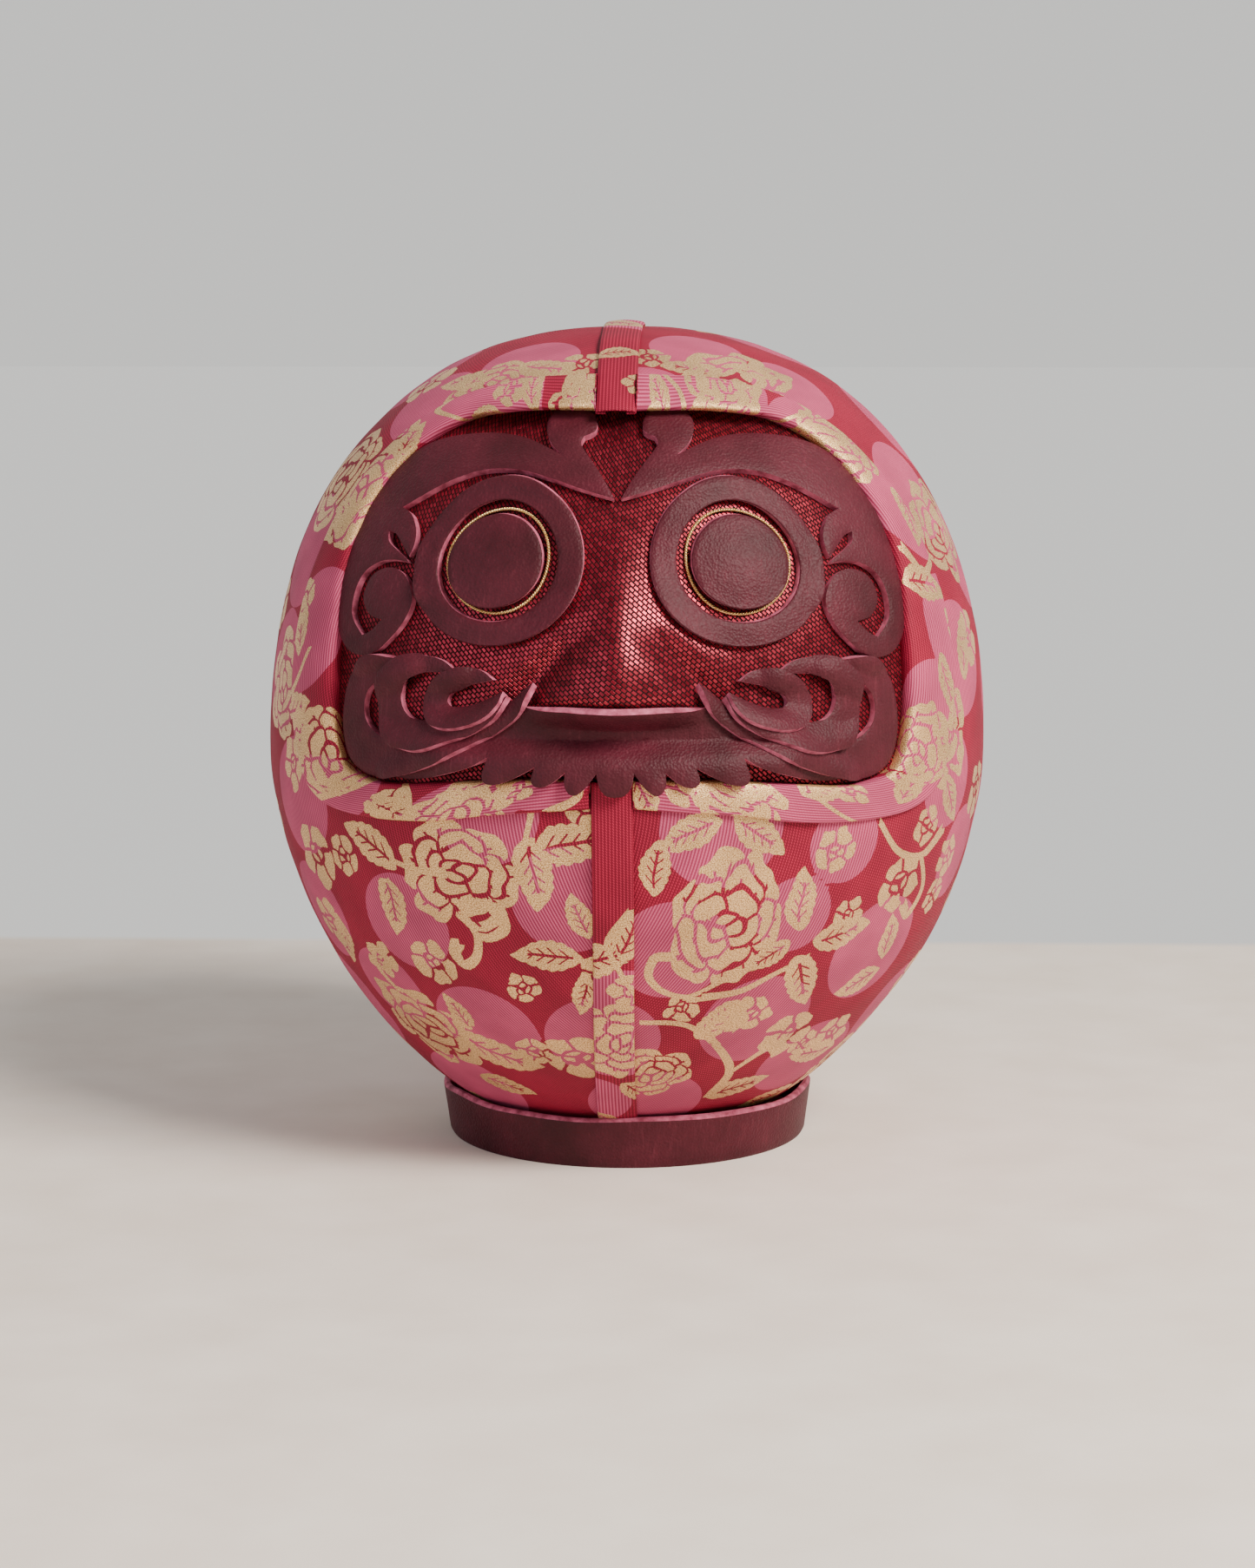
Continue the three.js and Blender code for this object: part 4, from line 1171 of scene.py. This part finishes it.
# %% The outlines
BROW = [
    [(0.8, 129.9), (8, 131.4), (16, 133.2), (24, 134.4), (33, 134.1), (41.5, 131.7), (51, 127.2)],
    [(51, 127.2), (47.4, 126), (44.8, 123.4), (44.2, 120.8), (44.8, 118.8)],
    [(44.8, 118.8), (47.6, 120.9), (50.4, 122.6), (52.6, 123)],
    [(52.6, 123), (51.6, 121.2), (48.6, 119.8), (46, 118.7), (44.4, 117.8)],
    [(44.4, 117.8), (48.6, 118), (52.6, 117.4), (56.2, 115.4), (57.8, 112), (57.2, 107.6), (53.2, 104.2)],
    [(53.2, 104.2), (50.9, 105.2), (48.5, 107.3)],
    [(48.5, 107.3), (52.4, 108.2), (54.9, 111.2), (53.6, 115), (49.2, 116.6), (44.9, 115.6), (42.1, 112.6),
     (41.8, 109.6), (44, 105.8), (48, 102)],
    [(48, 102), (52.2, 100.6), (57, 101.4), (60.6, 104.6), (63, 110), (64.4, 117), (65, 124), (62, 131.4),
     (56, 136.8), (49, 139.4), (38, 140.5), (27, 140), (19.5, 138.5), (14.2, 137)],
    [(14.2, 137), (17.6, 138.8), (20.2, 141), (20.9, 143.2), (18.6, 145), (14, 145.5), (9.6, 144.9),
     (6.8, 143.2), (6.6, 141.2), (9.4, 140.2)],
    [(9.4, 140.2), (9.8, 138.8), (6.4, 136), (3.4, 133.2), (0.8, 129.9)],
]
MOUSTACHE_OUTER = [
    [(14.2, 97.4), (20, 92.9), (26, 89.9), (33, 87.4), (40, 86.1), (45.4, 86.2), (49.2, 88.2), (50.6, 91),
     (49.9, 94.4), (47, 96.8), (43, 98.2), (40, 99.2)],
    [(40, 99.2), (43.5, 100.9), (47, 101.5), (50.6, 100.9), (53.4, 99), (55.5, 95.8), (56.4, 91.4),
     (56.3, 86.8), (54.5, 82), (50.6, 79.5), (45.4, 78.9), (40, 79.9), (33.8, 81.9), (27.8, 84.6),
     (22.6, 87.6), (17.8, 91.2), (15.4, 94.4), (14.2, 97.4)],
]
MOUSTACHE_MIDDLE = [
    [(18.8, 95), (22.4, 92.8), (26.4, 91), (30.8, 90), (35.2, 89.6), (38.6, 90.2), (40.8, 91.8),
     (41.6, 94.4), (40.6, 97.2), (38, 98.6), (33.6, 98.9), (30, 99.2)],
    [(30, 99.2), (32.8, 101), (36.6, 101.7), (40.6, 101.4), (43.6, 100.6), (46.2, 98.4), (47.4, 95),
     (47.1, 91), (45.8, 87.6), (43, 85.2), (39, 84.3), (34.6, 84.7), (29.6, 86.4), (24.6, 88.8),
     (21, 91.4), (18.8, 95)],
]
MOUSTACHE_INNER = [
    [(22, 98.2), (24.6, 97.6), (28, 96.8), (30.6, 95.4), (31.3, 93.6), (29.8, 92.4), (26.4, 92.6),
     (22.8, 94), (19.4, 95.8)],
    [(19.4, 95.8), (20.2, 93.6), (22.4, 91.4), (25.6, 89.8), (29.8, 88.8), (33.6, 89.2), (36, 91.4),
     (36.3, 94.6), (34.6, 97.6), (31.4, 99.4), (28.4, 100), (25, 99.7), (22, 98.2)],
]
BEARD_HALF = [
    [(0, 94.4), (9, 94.2), (17, 93.6)],
    [(17, 93.6), (22, 90), (30, 86.4), (37, 82.8), (43.4, 79.3)],
    [(43.4, 79.3), (39, 79.2), (35, 79.7), (30.5, 80.9), (26, 82.4), (22, 84)],
    [(22, 84), (22.8, 81.6), (22.2, 80), (20.4, 79.8), (17.6, 80.9), (13.6, 83.1)],
    [(13.6, 83.1), (14.1, 81), (13.4, 79.8), (12, 79.7), (10.4, 80.6), (8.4, 82.3)],
    [(8.4, 82.3), (8.4, 80.2), (7.6, 78.8), (6.4, 78.6), (5, 79.8), (3.2, 82.2)],
    [(3.2, 82.2), (2.7, 79.8), (1.5, 78.4), (0, 78.1)],
]
STROKE_STEPS = 6


def cut_line(strokes, side=1):
    """The closed outline of a cut shape, anticlockwise on the right and mirrored on the left."""
    line = np.vstack([stroke(points, STROKE_STEPS)[:-1] for points in strokes])
    return line * [side, 1]


beard_line = cut_line(BEARD_HALF)
beard_line = np.vstack([beard_line, [BEARD_HALF[-1][-1]], beard_line[:0:-1] * [-1, 1]])
print("outlines:", len(cut_line(BROW)), "corners on a brow,", len(beard_line), "on the beard")


# %% [markdown]
# The layer under a piece is felt as a soft hill: full height above the lower piece, and down to
# nothing four millimetres beyond its edge. Thick leather can't bend more sharply than that.

# %% Making a leather shape
LEATHER = 1.5                   # thickness of the leather
RIM_SHARE = 0.86                # height of the cut wall, as a share of the thickness
ROUNDING = 1.1                  # the top rises to its full height over this distance from the rim
DRAPE = 4.0                     # distance over which leather comes down from a lower layer
RIM_LOOP = 0.22                 # the first row of corners inside the cut
CUT_SPACING = 0.75              # from one row of cuts to the next
CUT_START = 0.31                # the first cut keeps clear of the outline's own corners


def hill_under(flat, lower):
    """Height of the layers below, at each flat point."""
    height = np.zeros(len(flat))
    for line, thickness in lower:
        height += thickness * ease(1 + depth_inside(flat, line) / DRAPE)
    return height


def leather_sheet(line):
    """A flat closed slab of leather of unit thickness, cut to the outline."""
    bm = bmesh.new()
    bm.faces.new([bm.verts.new((u, z, 0)) for u, z in line])
    bmesh.ops.inset_region(bm, faces=bm.faces[:], thickness=RIM_LOOP, use_even_offset=True,
                           use_boundary=True)
    low, high = line.min(0), line.max(0)
    for axis, normal in enumerate((Vector((1, 0, 0)), Vector((0, 1, 0)))):
        for at in np.arange(low[axis] + CUT_START, high[axis], CUT_SPACING):
            bmesh.ops.bisect_plane(bm, geom=[*bm.verts, *bm.edges, *bm.faces], dist=0.01,
                                   plane_co=normal * at, plane_no=normal)
    bmesh.ops.remove_doubles(bm, verts=bm.verts, dist=0.02)
    grown = bmesh.ops.extrude_face_region(bm, geom=bm.faces[:], use_keep_orig=True)
    tops = [v for v in grown["geom"] if isinstance(v, bmesh.types.BMVert)]
    bmesh.ops.translate(bm, vec=(0, 0, 1), verts=tops)
    bmesh.ops.recalc_face_normals(bm, faces=bm.faces)
    for face in bm.faces:
        face.material_index = 0 if face.normal.z > 0.5 else 1
    return mesh_from(bm, "leather")


def leather_piece(line, lower, thickness=LEATHER, lifts=()):
    mesh = leather_sheet(line)
    flat = corners(mesh)
    place, share = flat[:, :2], flat[:, 2]
    inside = np.maximum(depth_inside(place, line), 0)
    dome = 1 - (1 - np.minimum(inside / ROUNDING, 1)) ** 2
    top = thickness * (RIM_SHARE + (1 - RIM_SHARE) * dome) + 0.08 * waves(flat * [1, 1, 0], 7, 21) * dome

    def back_of_leather(du, dz):
        at = place + [du, dz]
        base = 0.1 + hill_under(at, lower) + chin_rise(at[:, 0], at[:, 1])
        for u, z, reach, height in lifts:
            base += height * np.exp(-((at - [u, z]) ** 2).sum(1) / reach ** 2)
        return on_face(at[:, 0], at[:, 1], base)

    step = 0.3
    normal = np.cross(back_of_leather(step, 0) - back_of_leather(-step, 0),
                      back_of_leather(0, step) - back_of_leather(0, -step))
    normal /= np.linalg.norm(normal, axis=1)[:, None]
    move_corners(mesh, back_of_leather(0, 0) + normal * (share * top)[:, None] * MM)
    return mesh


def put_leather(part, mesh):
    """A leather piece stands for the part of the frame that has its name."""
    stands_for = "base_ring" if part == "foot_ring" else part
    put_in_scene(f"leather_{part}", mesh, [leather, raw_edge], [stands_for], crease=50)


for word, side in (("left", -1), ("right", 1)):
    brow_line = cut_line(BROW, side)
    outer_line = cut_line(MOUSTACHE_OUTER, side)
    middle_line = cut_line(MOUSTACHE_MIDDLE, side)
    inner_line = cut_line(MOUSTACHE_INNER, side)
    below = [(beard_line, LEATHER), (brow_line, LEATHER)]
    shapes = (
        ("brow", brow_line, [], [(side * 2, 130.3, 3, 0.3)]),
        ("moustache_outer", outer_line, below, [(side * 15, 97, 3, 0.9)]),
        ("moustache_middle", middle_line, [*below, (outer_line, LEATHER)], [(side * 20, 94.5, 3, 0.5)]),
        ("moustache_inner", inner_line, [*below, (outer_line, LEATHER), (middle_line, LEATHER)],
         [(side * 21, 98, 3, 0.6)]),
    )
    for name, line, lower, lifts in shapes:
        mesh = leather_piece(line, lower, lifts=lifts)
        put_leather(f"{name}_{word}", mesh)

beard_lifts = [(side * u, 79, 2.5, 0.5) for side in (-1, 1) for u in (6, 12, 21)]
beard_lifts += [(u, 95, 3.2, 0.6) for u in (-12, -6, 0, 6, 12)]
beard_mesh = leather_piece(beard_line, [], lifts=beard_lifts)
put_leather("beard", beard_mesh)

# %% [markdown]
# ## Eyes
# Each eye is a flat leather ring, and inside it a smaller disc on a felt pad with a gold cord round
# it. They are round, so a profile is spun about the eye's middle, and then laid on the face.

# %% Rings, discs, pads and cords
EYE_U, EYE_Z = 24.4, 119.3
RING_INNER, RING_OUTER = 11.6, 16.3
DISC_RADIUS = 9.0
CORD_RADIUS = 9.9               # of the ring that the cord makes
CORD_LIFT = 0.35                # height of the cord's middle over what it lies on
STRAND_RADIUS = 0.17
TWISTS, STEPS_PER_TWIST = 60, 6
PAD_RADIUS, PAD_HEIGHT = 8.4, 0.8
eye_slope = float(body_radius(EYE_Z + 1) - body_radius(EYE_Z - 1)) / 2


def lay_round(points, side, lower=()):
    """Places points given round an eye's middle: across, up and lift in mm."""
    u = side * EYE_U + points[:, 0] * UNROLLED_RADIUS / float(face_radius(EYE_U, EYE_Z))
    z = EYE_Z + points[:, 1] / math.hypot(1, eye_slope)
    return on_face(u, z, points[:, 2] + 0.15 + hill_under(np.stack([u, z], -1), lower))


def spun(profile, steps):
    """Spins a profile of (radius, height) points about the upright axis."""
    bm = bmesh.new()
    verts = [bm.verts.new((radius, 0, height)) for radius, height in profile]
    edges = [bm.edges.new(pair) for pair in zip(verts, verts[1:])]
    bmesh.ops.spin(bm, geom=[*verts, *edges], cent=(0, 0, 0), axis=(0, 0, 1), angle=2 * math.pi,
                   steps=steps, use_merge=True)
    bmesh.ops.remove_doubles(bm, verts=bm.verts, dist=0.01)
    bmesh.ops.recalc_face_normals(bm, faces=bm.faces)
    return bm


def round_piece(profile):
    """A round mesh: its top takes the first material, and its walls and underside the second."""
    bm = spun(profile, 96)
    for face in bm.faces:
        face.material_index = 1 if abs(face.normal.z) < 0.4 or face.normal.z < -0.5 else 0
    return mesh_from(bm, "round piece")


def slab_profile(inner, outer, thickness, crown):
    """A flat slab with rounded shoulders and a slightly raised middle."""
    rim = thickness * RIM_SHARE
    middle = (inner + outer) / 2
    shoulder = min(1.2, (outer - inner) / 3)
    inner_part = [(inner, 0), (inner, rim), (inner + 0.25, rim + 0.25), (inner + shoulder, thickness)]
    if inner == 0:
        inner_part = [(0, 0), (0, thickness + crown), (outer * 0.3, thickness + crown * 0.9)]
        middle = outer * 0.65
    outer_part = [(outer - shoulder, thickness), (outer - 0.25, rim + 0.25), (outer, rim), (outer, 0)]
    return [*inner_part, (middle, thickness + crown * 0.6), *outer_part, (middle, 0), (inner, 0)]


def twisted_cord(side):
    """Two gilt strands twisted round each other, in a ring about the disc."""
    curve = bpy.data.curves.new("cord", "CURVE")
    curve.dimensions = "3D"
    curve.bevel_depth = STRAND_RADIUS * MM
    curve.bevel_resolution = 1
    count = TWISTS * STEPS_PER_TWIST
    for start in (0, math.pi):
        angle = np.arange(count) / count * 2 * math.pi
        twist = angle * TWISTS + start
        laid_by_hand = 0.25 * np.sin(3 * angle + side)
        radius = CORD_RADIUS + laid_by_hand + STRAND_RADIUS * np.cos(twist)
        lift = CORD_LIFT + STRAND_RADIUS * np.sin(twist)
        ring = np.stack([radius * np.cos(angle), radius * np.sin(angle), lift], -1)
        spline = curve.splines.new("POLY")
        spline.points.add(count - 1)
        placed = np.hstack([lay_round(ring, side), np.ones((count, 1))])
        spline.points.foreach_set("co", placed.astype(np.float32).ravel())
        spline.use_cyclic_u = True
    holder = bpy.data.objects.new("cord", curve)
    mesh = bpy.data.meshes.new_from_object(holder)
    bpy.data.objects.remove(holder)
    return mesh


for word, side in (("left", -1), ("right", 1)):
    brow_line = cut_line(BROW, side)
    ring = round_piece(slab_profile(RING_INNER, RING_OUTER, LEATHER, 0.15))
    move_corners(ring, lay_round(corners(ring), side, [(brow_line, LEATHER)]))
    put_leather(f"eye_ring_{word}", ring)
    disc = round_piece(slab_profile(0, DISC_RADIUS, LEATHER, 0.5))
    move_corners(disc, lay_round(corners(disc) + [0, 0, PAD_HEIGHT], side))
    put_leather(f"eye_disc_{word}", disc)
    # The pad's near-black felt is painted shade: it draws the dark gap under the disc.
    pad = round_piece([
        (0, 0), (0, PAD_HEIGHT), (PAD_RADIUS / 2, PAD_HEIGHT), (PAD_RADIUS - 0.2, PAD_HEIGHT),
        (PAD_RADIUS, PAD_HEIGHT / 2), (PAD_RADIUS - 0.2, 0), (0, 0),
    ])
    move_corners(pad, lay_round(corners(pad), side))
    put_in_scene(f"felt_pad_{word}", pad, [felt, felt], [f"eye_pad_{word}"])
    put_in_scene(f"gold_cord_{word}", twisted_cord(side), [gilt], [f"eye_cord_{word}"])

# %% [markdown]
# ## The foot ring
# The foot is a strap of the same leather bent into a low ring and glued round the foot. Its section
# is spun about the doll's axis, then waved a little, because the top edge of a hand-cut strap is
# never quite level. The top edge is raw.

# %% Foot ring
ring_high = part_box("base_ring")[1]
FOOT_TOP = ring_high.z / MM
FOOT_RADIUS = ring_high.x / MM
FOOT_TAPER = 1.4                # the ring is this much narrower at the floor
FOOT_WALL = 1.4


def foot_ring():
    top, foot = FOOT_RADIUS, FOOT_RADIUS - FOOT_TAPER
    levels = [0.0, 0.6, 2.5, 5, 7.5, FOOT_TOP - 0.8]
    outside = [(foot - 0.25 if z == 0 else foot + (top - foot) * z / FOOT_TOP, z) for z in levels]
    rim = [
        (top - 0.1, FOOT_TOP - 0.55), (top - 0.6, FOOT_TOP + 0.1),
        (top - FOOT_WALL + 0.15, FOOT_TOP + 0.15),
    ]
    inside = [(top - FOOT_WALL, FOOT_TOP - 0.3), (foot - FOOT_WALL, 0)]
    bm = spun([*outside, *rim, *inside, outside[0]], 180)
    for face in bm.faces:
        middle = face.calc_center_median()
        outward = face.normal.dot(Vector((middle.x, middle.y, 0)).normalized())
        face.material_index = 0 if outward > 0.4 and middle.z < FOOT_TOP - 0.6 else 1
    mesh = mesh_from(bm, "foot ring")
    places = corners(mesh)
    share = places[:, 2] / FOOT_TOP
    away = np.hypot(places[:, 0], places[:, 1])
    round_wave = waves(places * [1, 1, 0], 26, 8)
    places[:, 2] += 0.45 * share ** 2 * round_wave
    places[:, :2] *= (1 + 0.3 * share * waves(places * [1, 1, 0.3], 34, 9) / away)[:, None]
    move_corners(mesh, places * MM)
    return mesh


put_leather("foot_ring", foot_ring())

# %% [markdown]
# ## What is hidden
# The papier-mache body, the clay weight and the card disc keep the shapes that the frame gives them,
# and get the surfaces of what they are.

# %% Finishes of the hidden parts
for name, material in (("core_shell", papier), ("ballast", clay), ("base_disc", card)):
    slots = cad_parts[name].data.materials
    slots.clear()
    slots.append(material)
    print(name, "is now", material.name)

# %% [markdown]
# ## Floor and light
# The doll stands on a pale floor in soft daylight: one light high on the right, in front, a wide
# weak one from the left, and a pale grey surround that is brighter behind the doll. The far part of
# the floor glows in the surround's own grey, so that it has no far edge of its own, no wall is
# needed, and the doll can be seen from every side.

# %% Stage
SURROUND = "#D6D5D2"
SURROUND_FRONT, SURROUND_BACK = 0.28, 1.22      # brightness in front of the doll and behind it
FLOOR_END = 0.19                # the cream floor ends this far behind the doll's middle, in metres


def make_floor_material():
    tree, surface = new_material("pale floor")
    place = node(tree, "TexCoord", out=3)
    y = node(tree, "SeparateXYZ", place, out=1)
    far = node(tree, "MapRange", y, FLOOR_END - 0.003, FLOOR_END + 0.003, 0.0, 1.0)
    noise = node(tree, "TexNoise", into={"Vector": place, "Scale": 45.0, "Detail": 5.0})
    cream = node(tree, "MixRGB", noise, linear("#D8CBBF"), linear("#EEE6DD"))
    colour = node(tree, "MixRGB", far, cream, linear("#101010"))
    glow = node(tree, "MULTIPLY", far, SURROUND_BACK)
    return surface(Base_Color=colour, Roughness=0.95, Emission_Color=linear(SURROUND),
                   Emission_Strength=glow)


bm = bmesh.new()
bmesh.ops.create_grid(bm, x_segments=1, y_segments=1, size=4)
floor = bpy.data.objects.new("floor", mesh_from(bm, "floor"))
floor.data.materials.append(make_floor_material())
bpy.context.scene.collection.objects.link(floor)
floor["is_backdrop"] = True


def soft_light(name, place, size, power, colour):
    lamp = bpy.data.lights.new(name, "AREA")
    lamp.size = size
    lamp.energy = power
    lamp.color = linear(colour)[:3]
    holder = bpy.data.objects.new(name, lamp)
    holder.location = place
    holder.rotation_euler = (Vector((0, 0, 0.08)) - Vector(place)).to_track_quat("-Z", "Y").to_euler()
    bpy.context.scene.collection.objects.link(holder)


soft_light("window light", (0.66, -0.58, 0.8), 0.45, 27, "#FFF6EC")
soft_light("fill light", (-0.9, -0.8, 0.5), 0.9, 5, "#F2F4FF")
world = bpy.data.worlds.new("pale room")
world.use_nodes = True
sky = world.node_tree
direction = node(sky, "TexCoord")
behind = node(sky, "SeparateXYZ", direction, out=1)
strength = node(sky, "MapRange", behind, -0.3, 0.6, SURROUND_FRONT, SURROUND_BACK)
sky.links.new(strength, sky.nodes["Background"].inputs["Strength"])
sky.nodes["Background"].inputs["Color"].default_value = linear(SURROUND)
bpy.context.scene.world = world
print("light in front of the doll", SURROUND_FRONT, "and behind it", SURROUND_BACK)

# %% [markdown]
# ## The doll's size at the end
# The doll's box is printed, to set beside the frame's box that was printed at the start.

# %% Print the size
visual_box = [list(corner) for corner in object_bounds()]
print("visual box", [[round(x, 4) for x in corner] for corner in visual_box])
